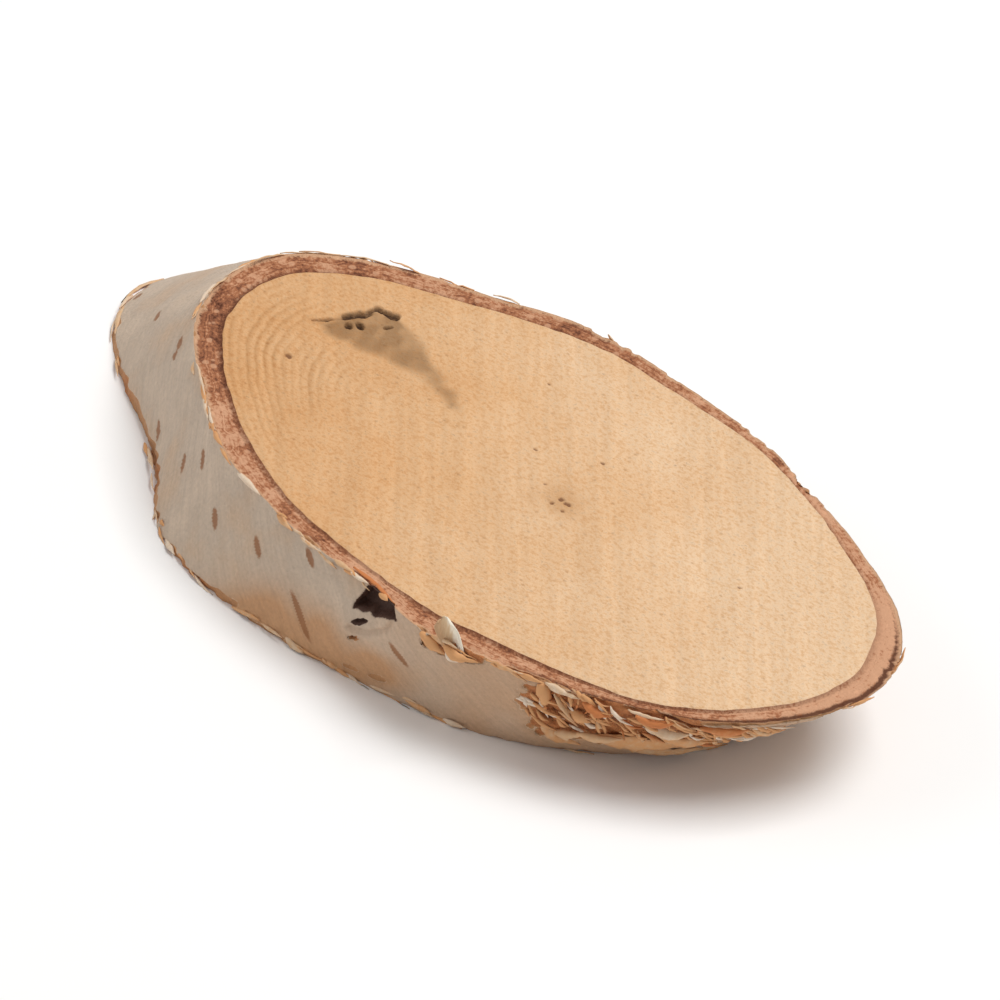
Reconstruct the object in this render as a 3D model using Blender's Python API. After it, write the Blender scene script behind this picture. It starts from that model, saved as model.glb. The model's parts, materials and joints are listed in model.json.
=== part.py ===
"""Birch wood slice: a short length of birch branch, bark on, sawn off by two parallel slanted cuts.

It lies on its lower sawn face. +Z is up, square to both sawn faces. +X runs along the long
axis of the oval, towards the end where the bark leans in under the upper face. The origin is
under the middle of the slice's box, on the surface it lies on. All lengths are in metres.
"""

from math import atan2, cos, exp, hypot, pi, radians, sin, tan

import bmesh
import bpy
from mathutils import Matrix, Vector

# The branch and the saw
SLICE_THICKNESS = 0.0088
BRANCH_WIDTH = 0.0394  # bark to bark, level and square to the slant
BRANCH_DEPTH = 0.0458  # bark to bark, up and down the slant
SAW_SLANT = radians(45)  # between a cut and a square cut across the branch

# The oval isn't even: each lobe is (how many times round, share of the radius, angle of a crest)
BARK_LOBES = (
    (2, 0.009, radians(96)),
    (3, 0.015, radians(43)),
    (4, 0.018, radians(6)),
    (5, 0.009, radians(33)),
    (6, 0.008, radians(-8)),
    (7, 0.009, radians(21)),
)

# Swells and hollows of the bark, below zero for a hollow:
# (angle round the slice, spread, height at the upper face, height at the lower face)
BARK_SWELLS = (
    (radians(181), radians(9), -0.0007, 0.0),
    (radians(158), radians(26), 0.0, 0.0021),
    (radians(97), radians(24), -0.0007, 0.0),
    (radians(75), radians(18), 0.0, -0.0008),
    (radians(40), radians(29), -0.0007, 0.0),
    (radians(15), radians(16), 0.0009, 0.0),
    (radians(-42), radians(16), 0.0, 0.0013),
    (radians(-89), radians(15), -0.0013, 0.0),
    (radians(-110), radians(20), 0.0, 0.0015),
    (radians(-138), radians(12), 0.0005, 0.0),
    (radians(-154), radians(22), 0.0, -0.0025),
)

# The hole that a dead twig left in the bark, just under the upper face
KNOT_ANGLE = radians(-82)
KNOT_DROP = 0.0012  # its middle, below the upper face
KNOT_WIDTH = 0.0030
KNOT_DEPTH = 0.0024

# Fineness of the mesh
SIDES = 96
WALL_STEPS = 4
KNOT_SIDES = 3


def bark_radius(angle, drop):
    """Distance from the pith to the bark, at a share drop of the way down from the upper face."""
    half_length = BRANCH_DEPTH / 2 / cos(SAW_SLANT)
    half_width = BRANCH_WIDTH / 2
    oval = half_length * half_width / hypot(half_width * cos(angle), half_length * sin(angle))
    radius = oval * (1 + sum(share * cos(times * (angle - crest)) for times, share, crest in BARK_LOBES))
    for middle, spread, upper, lower in BARK_SWELLS:
        away = (angle - middle + pi) % (2 * pi) - pi
        radius += (upper + drop * (lower - upper)) * exp(-((away / spread) ** 2))
    return radius


def bark_point(angle, drop):
    """A point of the bark; the pith leans back towards -X on its way down."""
    radius = bark_radius(angle, drop)
    lean = drop * SLICE_THICKNESS * tan(SAW_SLANT)
    return Vector((radius * cos(angle) - lean, radius * sin(angle), SLICE_THICKNESS * (1 - drop)))


def new_object(name, bm, collection, material=None):
    """Links a new object that holds the shape of bm, and frees bm."""
    mesh = bpy.data.meshes.new(name)
    bm.to_mesh(mesh)
    bm.free()
    if material is not None:
        mesh.materials.append(material)
    obj = bpy.data.objects.new(name, mesh)
    collection.objects.link(obj)
    return obj


def new_collection(name):
    """A new collection, linked to the scene."""
    collection = bpy.data.collections.new(name)
    bpy.context.scene.collection.children.link(collection)
    return collection


def birch_material():
    """Dry sawn birch: pale gold and matt."""
    material = bpy.data.materials.new("birch_wood")
    material.use_nodes = True
    shader = material.node_tree.nodes["Principled BSDF"]
    shader.inputs["Base Color"].default_value = (0.68, 0.44, 0.25, 1.0)
    shader.inputs["Roughness"].default_value = 0.75
    shader.inputs["Metallic"].default_value = 0.0
    return material


def sawn_branch():
    """The slice before the knot hole: a plain drum, with rings down its wall, shaped to the bark."""
    bm = bmesh.new()
    bmesh.ops.create_cone(
        bm,
        cap_ends=True,
        cap_tris=False,
        segments=SIDES,
        radius1=1.0,
        radius2=1.0,
        depth=1.0,
    )
    for step in range(1, WALL_STEPS):
        bmesh.ops.bisect_plane(
            bm,
            geom=bm.verts[:] + bm.edges[:] + bm.faces[:],
            plane_co=(0, 0, 0.5 - step / WALL_STEPS),
            plane_no=(0, 0, 1),
        )
    for vert in bm.verts:
        vert.co = bark_point(atan2(vert.co.y, vert.co.x), 0.5 - vert.co.z)
    return bm


def knot_cutter():
    """A three-sided spike, point up, whose tip is in the wood and whose base stands off the bark."""
    bm = bmesh.new()
    bmesh.ops.create_cone(
        bm,
        cap_ends=True,
        cap_tris=False,
        segments=KNOT_SIDES,
        radius1=KNOT_WIDTH,
        radius2=0.0,
        depth=2 * KNOT_DEPTH,
    )
    mouth = bark_point(KNOT_ANGLE, KNOT_DROP / SLICE_THICKNESS)
    outward = Vector((cos(KNOT_ANGLE), sin(KNOT_ANGLE), 0))
    sideways = Vector((0, 0, 1)).cross(outward)
    turn = Matrix((Vector((0, 0, 1)), sideways, -outward)).transposed().to_4x4()
    bm.transform(Matrix.Translation(mouth) @ turn)
    return bm


def main():
    for obj in list(bpy.data.objects):
        bpy.data.objects.remove(obj, do_unlink=True)
    parts = new_collection("birch_wood_slice")
    cutters = new_collection("cutters")

    slice_obj = new_object("birch_slice", sawn_branch(), parts, birch_material())
    slice_obj.data.shade_smooth()
    slice_obj.data.set_sharp_from_angle(angle=radians(40))

    cutter = new_object("knot_cutter", knot_cutter(), cutters)
    cutter.hide_render = True
    cutter.display_type = "WIRE"

    knot_hole = slice_obj.modifiers.new("knot_hole", "BOOLEAN")
    knot_hole.operation = "DIFFERENCE"
    knot_hole.solver = "EXACT"
    knot_hole.object = cutter

    # The origin goes under the middle of the slice's box.
    xs = [vert.co.x for vert in slice_obj.data.vertices]
    ys = [vert.co.y for vert in slice_obj.data.vertices]
    middle = Vector((-(min(xs) + max(xs)) / 2, -(min(ys) + max(ys)) / 2, 0))
    slice_obj.location = middle
    cutter.location = middle


main()
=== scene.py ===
"""The looks of a birch wood slice: a short length of birch branch, bark on, sawn off on a slant.

The slice lies on its lower sawn face. +Z is up, +X runs along the oval towards the end where
the bark leans in under the upper face. Lengths are in metres, unless a name ends in _mm.
"""

from __future__ import annotations

import itertools
import json
import logging
from dataclasses import dataclass, field
from enum import Enum, IntEnum
from functools import cached_property
from math import cos, pi, radians, sin, sqrt, tan

import bpy
import numpy as np
from mathutils import Matrix, Vector
from mathutils.geometry import delaunay_2d_cdt

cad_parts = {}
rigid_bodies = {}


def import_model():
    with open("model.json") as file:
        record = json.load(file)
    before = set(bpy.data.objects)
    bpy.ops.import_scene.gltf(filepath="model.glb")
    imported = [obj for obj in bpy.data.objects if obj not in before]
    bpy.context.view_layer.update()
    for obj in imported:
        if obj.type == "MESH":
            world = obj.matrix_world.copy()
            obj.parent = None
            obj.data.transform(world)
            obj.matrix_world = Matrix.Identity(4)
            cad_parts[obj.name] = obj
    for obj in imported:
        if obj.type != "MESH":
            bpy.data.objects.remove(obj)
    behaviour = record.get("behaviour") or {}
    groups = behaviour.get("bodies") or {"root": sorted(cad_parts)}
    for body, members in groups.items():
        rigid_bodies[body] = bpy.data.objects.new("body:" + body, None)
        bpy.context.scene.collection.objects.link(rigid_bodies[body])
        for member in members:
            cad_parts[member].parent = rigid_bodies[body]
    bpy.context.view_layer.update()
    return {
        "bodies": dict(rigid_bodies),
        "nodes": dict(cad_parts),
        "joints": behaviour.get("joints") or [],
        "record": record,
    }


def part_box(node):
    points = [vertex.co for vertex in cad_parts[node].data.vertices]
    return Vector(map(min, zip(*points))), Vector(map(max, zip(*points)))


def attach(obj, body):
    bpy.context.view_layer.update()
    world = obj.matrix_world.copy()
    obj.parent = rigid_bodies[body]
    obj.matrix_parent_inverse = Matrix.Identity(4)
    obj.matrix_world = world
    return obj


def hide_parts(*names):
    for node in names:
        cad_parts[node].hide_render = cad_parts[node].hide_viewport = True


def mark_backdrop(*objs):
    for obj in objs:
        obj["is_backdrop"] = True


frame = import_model()

LOG = logging.getLogger("birch_slice")
NODE = "birch_slice"
MM = 0.001
BLACK = "#000000"
WHITE = "#FFFFFF"


# ---------------------------------------------------------------- numbers and noise


def linear(hex_colour: str) -> tuple[float, float, float, float]:
    """Turns an sRGB colour into the linear one that shaders take.

    Args:
        hex_colour: Six hex digits after a #.

    Returns:
        Red, green, blue and an alpha of 1.
    """
    parts = [int(hex_colour[i : i + 2], 16) / 255 for i in (1, 3, 5)]
    return (*(c / 12.92 if c <= 0.04045 else ((c + 0.055) / 1.055) ** 2.4 for c in parts), 1.0)


def noise(points: np.ndarray, size: float, seed: int) -> np.ndarray:
    """Smooth random bumps of one size, the same on every run.

    Args:
        points: Places, one row of three numbers each.
        size: The bumps' size, in the same unit as points.
        seed: Picks one pattern.

    Returns:
        A value from -1 to 1 for each place.
    """
    scaled = points / size + 1000.0
    cell = np.floor(scaled).astype(np.int64)
    part = scaled - cell
    ease = part * part * part * (part * (part * 6 - 15) + 10)
    total = np.zeros(len(points))
    for corner in itertools.product((0, 1), repeat=3):
        at = (cell + corner).astype(np.uint64)
        mixed = at[:, 0] * np.uint64(374761393) + at[:, 1] * np.uint64(668265263)
        mixed += at[:, 2] * np.uint64(2147483647) + np.uint64(seed * 40503 + 11)
        mixed ^= mixed >> np.uint64(13)
        mixed *= np.uint64(1274126177)
        mixed ^= mixed >> np.uint64(16)
        value = (mixed & np.uint64(0xFFFF)).astype(float) / 32767.5 - 1
        total += value * np.prod(np.where(corner, ease, 1 - ease), axis=1)
    return total


def rough_noise(points: np.ndarray, size: float, seed: int, layers: int = 3) -> np.ndarray:
    """Noise with finer bumps on its bumps.

    Args:
        points: Places, one row of three numbers each.
        size: The largest bumps' size.
        seed: Picks one pattern.
        layers: How many sizes, each half of the one before.

    Returns:
        A value of about -1 to 1 for each place.
    """
    total = sum(noise(points, size / 2**i, seed + 17 * i) / 2**i for i in range(layers))
    return total / 1.6


def ramp(value: np.ndarray, low: float, high: float) -> np.ndarray:
    """Rises smoothly from 0 at low to 1 at high.

    Args:
        value: What is measured.
        low: Where the rise starts.
        high: Where it ends, which may be below low.

    Returns:
        Values from 0 to 1.
    """
    part = np.clip((value - low) / (high - low), 0, 1)
    return part * part * (3 - 2 * part)


def turn_between(angle: np.ndarray, middle: float) -> np.ndarray:
    """The shortest turn from middle to angle, in radians."""
    return (angle - middle + pi) % (2 * pi) - pi


def near_line(places: np.ndarray, line: np.ndarray) -> tuple[np.ndarray, np.ndarray]:
    """How far places lie from a line of several points.

    Args:
        places: Flat places, one row of two numbers each.
        line: The line's points, one row of two numbers each.

    Returns:
        Each place's distance, and how far along the line its nearest point is, from 0 to 1.
    """
    best = np.full(len(places), np.inf)
    along = np.zeros(len(places))
    count = len(line) - 1
    for i in range(count):
        step = line[i + 1] - line[i]
        share = np.clip(((places - line[i]) @ step) / (step @ step), 0, 1)
        gap = np.linalg.norm(places - line[i] - share[:, None] * step, axis=1)
        closer = gap < best
        best[closer] = gap[closer]
        along[closer] = (i + share[closer]) / count
    return best, along


def inside_outline(places: np.ndarray, corners: tuple[tuple[float, float], ...]) -> np.ndarray:
    """How far inside a closed outline places lie.

    Args:
        places: Flat places, one row of two numbers each.
        corners: The outline's corners, in order.

    Returns:
        The distance to the outline, below zero for places outside it.
    """
    line = np.array([*corners, corners[0]])
    gap, _ = near_line(places, line)
    x, y = places.T
    inside = np.zeros(len(places), bool)
    for (ax, ay), (bx, by) in zip(line, line[1:]):
        crosses = (ay > y) != (by > y)
        level = np.where(crosses, (y - ay) / (by - ay + 1e-12), 0)
        inside ^= crosses & (x < ax + level * (bx - ax))
    return np.where(inside, gap, -gap)


# ---------------------------------------------------------------- meshes and nodes


def mesh_object(
    name: str, points: np.ndarray, faces: list[tuple[int, ...]], values: dict[str, np.ndarray] | None = None,
    slots: np.ndarray | None = None,
) -> bpy.types.Object:
    """Makes a smooth-shaded object out of mesh data.

    Args:
        name: The piece's name.
        points: One row of x, y and z for each corner point.
        faces: The corner numbers of each face, anticlockwise from outside.
        values: Named numbers, one for each point, that materials read.
        slots: The material slot of each face.

    Returns:
        The new object, linked to the scene.
    """
    mesh = bpy.data.meshes.new(name)
    mesh.from_pydata(points.tolist(), [], faces)
    mesh.validate()
    for key, numbers in (values or {}).items():
        layer = mesh.attributes.new(key, "FLOAT", "POINT")
        layer.data.foreach_set("value", numbers.astype(np.float32))
    if slots is not None:
        mesh.polygons.foreach_set("material_index", slots.astype(np.int32))
    mesh.shade_smooth()
    piece = bpy.data.objects.new(name, mesh)
    bpy.context.scene.collection.objects.link(piece)
    return piece


def add_node(
    tree: bpy.types.NodeTree, kind: str, inputs: dict[str | int, object] | None = None,
    stops: tuple[tuple[float, str], ...] = (), **settings: object,
) -> bpy.types.Node:
    """Adds a node with its settings and links.

    Args:
        tree: The material's node tree.
        kind: The node's type, without its leading ShaderNode.
        inputs: What each input takes: another node's output, or a plain value.
        stops: A colour ramp's places and hex colours.
        settings: The node's own properties.

    Returns:
        The new node.
    """
    node = tree.nodes.new("ShaderNode" + kind)
    for key, value in settings.items():
        setattr(node, key, value)
    for key, value in (inputs or {}).items():
        if isinstance(value, bpy.types.NodeSocket):
            tree.links.new(value, node.inputs[key])
        else:
            node.inputs[key].default_value = value
    for number, (place, colour) in enumerate(stops):
        elements = node.color_ramp.elements
        stop = elements[number] if number < 2 else elements.new(place)
        stop.position = place
        stop.color = linear(colour)
    return node


class Finish:
    """A material: each kind fills a fresh node tree and gives back what its shader takes."""

    name = "finish"
    roughness = 0.7
    specular = 0.3
    ior = 1.5

    def colour_and_height(self, tree: bpy.types.NodeTree) -> tuple[bpy.types.NodeSocket, ...]:
        """Builds the pattern.

        Args:
            tree: The material's node tree.

        Returns:
            The sockets that give the colour and the height of the relief in metres.
        """
        raise NotImplementedError

    def material(self) -> bpy.types.Material:
        """The finished material, made on its first use.

        Returns:
            The material that has this finish's name.
        """
        made = bpy.data.materials.get(self.name)
        if made is not None:
            return made
        made = bpy.data.materials.new(self.name)
        made.use_nodes = True
        tree = made.node_tree
        colour, height = self.colour_and_height(tree)
        bump = add_node(tree, "Bump", {"Strength": 1.0, "Distance": 1.0, "Height": height})
        shader = tree.nodes["Principled BSDF"]
        shader.inputs["Roughness"].default_value = self.roughness
        shader.inputs["IOR"].default_value = self.ior
        shader.inputs["Metallic"].default_value = 0.0
        shader.inputs["Specular IOR Level"].default_value = self.specular
        tree.links.new(colour, shader.inputs["Base Color"])
        tree.links.new(bump.outputs["Normal"], shader.inputs["Normal"])
        return made


class Out(IntEnum):
    """Outputs and inputs of a colour Mix node, which has several with the same name."""

    MIX_FACTOR = 0
    MIX_A = 6
    MIX_B = 7
    MIX_RESULT = 2


@dataclass(frozen=True)
class SawnBirch(Finish):
    """Birch end grain, band sawn and dry.

    Birch is a pale, even, diffuse-porous wood: to the eye a matt gold with a fuzzy speckle of painted shadow
    from tufts of cut fibres, growth rings that barely show, and faint hatching, painted as light and shade,
    where the saw's teeth passed.
    """

    name: str = "band_sawn_birch"
    pale: str = "#EFCFAB"
    gold: str = "#E6BC8F"
    deep: str = "#DDAA76"
    fuzz: str = "#E9D9C6"  # what a tuft's shadow leaves of each colour
    late_wood: str = "#B98550"
    stain: str = "#7C5A38"
    # painted shade: the near-black inside of the drying crack
    crack: str = "#38200F"
    fleck: str = "#74492D"
    ring_mm: float = 0.56  # a slow-grown branch
    fibre_mm: float = 0.24  # tufts of cut fibres; single fibres, 0.02 mm, are too fine to show
    pore_mm: float = 0.8  # drawn coarser than the real 0.1 mm, for the few that show
    saw_mm: float = 0.7  # pitch of a fine band saw's marks
    saw_turn: float = radians(133)
    roughness: float = 0.74
    specular: float = 0.22
    ior: float = 1.53

    def ground(self, tree: bpy.types.NodeTree, place: bpy.types.NodeSocket) -> bpy.types.NodeSocket:
        """The wood's own colour, deeper towards one end, in soft blotches.

        Args:
            tree: The material's node tree.
            place: Where the pattern is read.

        Returns:
            The colour.
        """
        blotch = add_node(tree, "TexNoise", {"Vector": place, "Scale": 1 / (9 * MM), "Detail": 3.0})
        towards = add_node(tree, "VectorMath", {0: place, 1: (0.8, 0.6, 0.0)}, operation="DOT_PRODUCT")
        along = add_node(
            tree, "MapRange",
            {"Value": towards.outputs["Value"], "From Min": -0.024, "From Max": 0.026, "To Max": 0.62},
        )
        shade = add_node(
            tree, "Math", {0: blotch.outputs["Fac"], 1: 0.55, 2: along.outputs["Result"]},
            operation="MULTIPLY_ADD",
        )
        return add_node(
            tree, "ValToRGB", {"Fac": shade.outputs[0]},
            stops=((0.28, self.deep), (0.86, self.pale), (0.52, self.gold)),
        ).outputs[0]

    def late_lines(self, tree: bpy.types.NodeTree, place: bpy.types.NodeSocket) -> bpy.types.NodeSocket:
        """How much of each year's darker last wood shows.

        Args:
            tree: The material's node tree.
            place: Where the pattern is read.

        Returns:
            The amount, strongest at the end where the cut meets the rings most squarely.
        """
        growth = add_node(tree, "Attribute", attribute_name="growth").outputs["Fac"]
        wander = add_node(tree, "TexNoise", {"Vector": place, "Scale": 1 / (3.5 * MM), "Detail": 2.0})
        years = add_node(
            tree, "Math", {0: wander.outputs["Fac"], 1: 0.35, 2: growth}, operation="MULTIPLY_ADD"
        )
        years = add_node(tree, "Math", {0: years.outputs[0], 1: self.ring_mm}, operation="DIVIDE")
        year = add_node(tree, "Math", {0: years.outputs[0]}, operation="FRACT")
        late = add_node(
            tree, "ValToRGB", {"Fac": year.outputs[0]}, stops=((0.25, BLACK), (1.0, BLACK), (0.75, WHITE)),
        )
        number = add_node(tree, "Math", {0: years.outputs[0]}, operation="FLOOR")
        depth = add_node(tree, "TexWhiteNoise", {"W": number.outputs[0]}, noise_dimensions="1D")
        depth = add_node(tree, "MapRange", {"Value": depth.outputs["Value"], "To Min": 0.25, "To Max": 1.0})
        end = add_node(tree, "SeparateXYZ", {"Vector": place})
        fades = [
            add_node(
                tree, "MapRange",
                {
                    "Value": end.outputs[axis], "From Min": low, "From Max": high, "To Min": 1.0,
                    "To Max": least,
                },
            ) for axis, low, high, least in (("X", -0.019, -0.009, 0.12), ("Y", -0.004, 0.005, 0.2))
        ]
        patch = add_node(tree, "TexNoise", {"Vector": place, "Scale": 1 / (8 * MM), "Detail": 1.0})
        patch = add_node(
            tree, "MapRange", {"Value": patch.outputs["Fac"], "From Min": 0.35, "From Max": 0.62}
        )
        amount = late.outputs[0]
        for share in (depth, *fades, patch):
            amount = add_node(tree, "Math", {0: amount, 1: share.outputs["Result"]}, operation="MULTIPLY")
            amount = amount.outputs[0]
        return amount

    def colour_and_height(self, tree: bpy.types.NodeTree) -> tuple[bpy.types.NodeSocket, ...]:
        """Builds the pattern.

        Args:
            tree: The material's node tree.

        Returns:
            The sockets that give the colour and the height of the relief in metres.
        """
        place = add_node(tree, "TexCoord").outputs["Object"]
        ringed = add_node(
            tree, "Mix",
            {
                Out.MIX_FACTOR: self.late_lines(tree, place), Out.MIX_A: self.ground(tree, place),
                Out.MIX_B: linear(self.late_wood),
            },
            data_type="RGBA",
        )
        # tufts of cut fibre, drawn out a little by the slant of the cut; their shadows are painted into the
        # colour as a darker speckle
        drawn = add_node(tree, "Mapping", {"Vector": place, "Scale": (0.75, 1.0, 1.0)})
        fuzz = add_node(
            tree,
            "TexNoise",
            {"Vector": drawn.outputs[0], "Scale": 1 / (self.fibre_mm * MM), "Detail": 4.0, "Roughness": 0.62},
        )
        tuft_shadow = add_node(
            tree, "ValToRGB", {"Fac": fuzz.outputs["Fac"]}, stops=((0.34, self.fuzz), (0.62, WHITE)),
        )
        tuft_shadowed = add_node(
            tree, "Mix",
            {Out.MIX_FACTOR: 1.0, Out.MIX_A: ringed.outputs[Out.MIX_RESULT], Out.MIX_B: tuft_shadow.outputs[0]},
            data_type="RGBA", blend_type="MULTIPLY",
        )
        # saw marks: long thin hatching, all one way, painted as light and shade in the colour as well as
        # raised in the relief
        across = add_node(
            tree, "Mapping",
            {
                "Vector": place, "Rotation": (0, 0, self.saw_turn),
                "Scale": (14 * MM, self.saw_mm * MM, 14 * MM),
            },
            vector_type="TEXTURE",
        )
        marks = add_node(tree, "TexNoise", {"Vector": across.outputs[0], "Scale": 1.0, "Detail": 2.0})
        mark_shade = add_node(
            tree,
            "MapRange",
            {"Value": marks.outputs["Fac"], "From Min": 0.3, "From Max": 0.7, "To Min": 0.95, "To Max": 1.05},
        )
        lit = add_node(
            tree, "VectorMath", {0: tuft_shadowed.outputs[Out.MIX_RESULT], "Scale": mark_shade.outputs["Result"]},
            operation="SCALE",
        )
        pores = add_node(
            tree, "TexVoronoi",
            {"Vector": drawn.outputs[0], "Scale": 1 / (self.pore_mm * MM), "Randomness": 1.0},
        )
        pore = add_node(
            tree, "MapRange",
            {
                "Value": pores.outputs["Distance"], "From Min": 0.06, "From Max": 0.2, "To Min": 0.24,
                "To Max": 0.0,
            },
        )
        current = add_node(
            tree, "Mix",
            {
                Out.MIX_FACTOR: pore.outputs["Result"], Out.MIX_A: lit.outputs[0],
                Out.MIX_B: linear(self.fleck),
            },
            data_type="RGBA",
        ).outputs[Out.MIX_RESULT]
        # stain, pith and flecks are the wood's own colours; the crack colour is painted shade inside the
        # drying crack
        for mark, colour, share in (
            ("stain", self.stain, 0.66), ("pith", self.late_wood, 0.42), ("fleck", self.fleck, 0.85),
            ("crack", self.crack, 0.97),
        ):
            amount = add_node(tree, "Attribute", attribute_name=mark).outputs["Fac"]
            ragged = add_node(
                tree, "Math", {0: fuzz.outputs["Fac"], 1: 0.8, 2: amount}, operation="MULTIPLY_ADD"
            )
            amount = add_node(
                tree, "MapRange",
                {"Value": ragged.outputs[0], "From Min": 0.45, "From Max": 1.4, "To Max": share},
            )
            current = add_node(
                tree, "Mix",
                {Out.MIX_FACTOR: amount.outputs["Result"], Out.MIX_A: current, Out.MIX_B: linear(colour)},
                data_type="RGBA",
            ).outputs[Out.MIX_RESULT]
        height = add_node(tree, "Math", {0: fuzz.outputs["Fac"], 1: 0.11 * MM}, operation="MULTIPLY")
        height = add_node(
            tree, "Math", {0: marks.outputs["Fac"], 1: 0.05 * MM, 2: height.outputs[0]},
            operation="MULTIPLY_ADD",
        )
        return current, height.outputs[0]


@dataclass(frozen=True)
class InnerBark(Finish):
    """Birch inner bark, sawn across and dried.

    Corky, reddish brown and crumbly: to the eye it is light stone cells in a brown bed, streaked along the
    rim, with a painted shadow line in the groove where it dried away from the wood, painted shade in the gap
    under the paper and in the knot hole, and the paper's pale edge.
    """

    name: str = "sawn_inner_bark"
    # seam is the darkest tone of the bark and also the painted shade in the groove by the wood and in the gap
    # under the paper
    seam: str = "#5A3323"
    umber: str = "#8A5840"
    russet: str = "#B37551"
    buff: str = "#D9A582"
    paper_edge: str = "#DDB08B"
    # painted shade inside the knot hole and its eye
    hole_shade: str = "#432114"
    cell_mm: float = 0.8
    grit_mm: float = 0.32
    roughness: float = 0.85
    specular: float = 0.15

    def colour_and_height(self, tree: bpy.types.NodeTree) -> tuple[bpy.types.NodeSocket, ...]:
        """Builds the pattern.

        Args:
            tree: The material's node tree.

        Returns:
            The sockets that give the colour and the height of the relief in metres.
        """
        place = add_node(tree, "TexCoord").outputs["Object"]
        ring = add_node(tree, "Attribute", attribute_name="ring").outputs["Fac"]
        pit = add_node(tree, "Attribute", attribute_name="pit").outputs["Fac"]
        pale = add_node(tree, "Attribute", attribute_name="pale").outputs["Fac"]
        gap = add_node(tree, "Attribute", attribute_name="gap").outputs["Fac"]
        mottle = add_node(
            tree, "TexNoise",
            {"Vector": place, "Scale": 1 / (self.grit_mm * MM), "Detail": 4.0, "Roughness": 0.7},
        )
        patch = add_node(tree, "TexNoise", {"Vector": place, "Scale": 1 / (1.6 * MM), "Detail": 3.0})
        # streaks along the rim, wandering in and out
        streak_place = add_node(
            tree, "Math", {0: patch.outputs["Fac"], 1: 0.5, 2: ring}, operation="MULTIPLY_ADD",
        )
        streaks = add_node(
            tree, "TexNoise", {"W": streak_place.outputs[0], "Scale": 9.0, "Detail": 2.0},
            noise_dimensions="1D",
        )
        tone = add_node(
            tree, "Math", {0: mottle.outputs["Fac"], 1: 1.3, 2: patch.outputs["Fac"]},
            operation="MULTIPLY_ADD",
        )
        tone = add_node(
            tree, "Math", {0: streaks.outputs["Fac"], 1: 0.7, 2: tone.outputs[0]}, operation="MULTIPLY_ADD"
        )
        tone = add_node(tree, "Math", {0: pale, 1: 0.75, 2: tone.outputs[0]}, operation="MULTIPLY_ADD")
        tone = add_node(tree, "MapRange", {"Value": tone.outputs[0], "From Min": 1.07, "From Max": 2.02})
        colour = add_node(
            tree, "ValToRGB", {"Fac": tone.outputs["Result"]},
            stops=((0.15, self.seam), (0.9, self.buff), (0.38, self.umber), (0.62, self.russet)),
        )
        # light stone cells
        cells = add_node(
            tree, "TexVoronoi", {"Vector": place, "Scale": 1 / (self.cell_mm * MM), "Randomness": 1.0}
        )
        pick = add_node(tree, "SeparateXYZ", {"Vector": cells.outputs["Color"]})
        chosen = add_node(tree, "Math", {0: pick.outputs["X"], 1: 0.62}, operation="GREATER_THAN")
        cell_edge = add_node(
            tree, "Math", {0: mottle.outputs["Fac"], 1: 0.5, 2: cells.outputs["Distance"]},
            operation="MULTIPLY_ADD",
        )
        cell = add_node(
            tree, "MapRange",
            {
                "Value": cell_edge.outputs[0], "From Min": 0.52, "From Max": 0.66, "To Min": 0.75,
                "To Max": 0.0,
            },
        )
        cell = add_node(tree, "Math", {0: cell.outputs["Result"], 1: chosen.outputs[0]}, operation="MULTIPLY")
        edge = add_node(tree, "Math", {0: mottle.outputs["Fac"], 1: 0.35, 2: ring}, operation="MULTIPLY_ADD")
        # painted shadow line in the groove where the inner bark dried away from the wood
        wood_side = add_node(
            tree, "MapRange",
            {"Value": edge.outputs[0], "From Min": 0.2, "From Max": 0.42, "To Min": 0.8, "To Max": 0.0},
        )
        firm = add_node(tree, "MapRange", {"Value": pale, "To Min": 1.0, "To Max": 0.2})
        wood_gap_shade = add_node(
            tree, "Math", {0: wood_side.outputs["Result"], 1: firm.outputs["Result"]}, operation="MULTIPLY"
        )
        paper_side = add_node(
            tree, "MapRange", {"Value": edge.outputs[0], "From Min": 1.0, "From Max": 1.1, "To Max": 0.85}
        )
        # painted shade in the open gap under the paper
        rough_gap = add_node(
            tree, "Math", {0: mottle.outputs["Fac"], 1: 0.9, 2: gap}, operation="MULTIPLY_ADD",
        )
        split = add_node(
            tree, "MapRange",
            {"Value": rough_gap.outputs[0], "From Min": 0.6, "From Max": 0.95, "To Max": 0.9},
        )
        # the knot hole and its eye are painted dark as the shade inside them
        hollow_shade = add_node(tree, "MapRange", {"Value": pit, "From Min": 0.02, "From Max": 0.3, "To Max": 0.97})
        colour = colour.outputs[0]
        for amount, over in (
            (cell.outputs[0], self.buff), (wood_gap_shade.outputs[0], self.seam),
            (paper_side.outputs["Result"], self.paper_edge), (split.outputs["Result"], self.seam),
            (hollow_shade.outputs["Result"], self.hole_shade),
        ):
            colour = add_node(
                tree, "Mix", {Out.MIX_FACTOR: amount, Out.MIX_A: colour, Out.MIX_B: linear(over)},
                data_type="RGBA",
            ).outputs[Out.MIX_RESULT]
        height = add_node(tree, "Math", {0: mottle.outputs["Fac"], 1: 0.22 * MM}, operation="MULTIPLY")
        height = add_node(
            tree, "Math", {0: cell.outputs[0], 1: 0.06 * MM, 2: height.outputs[0]}, operation="MULTIPLY_ADD"
        )
        return colour, height.outputs[0]


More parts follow.
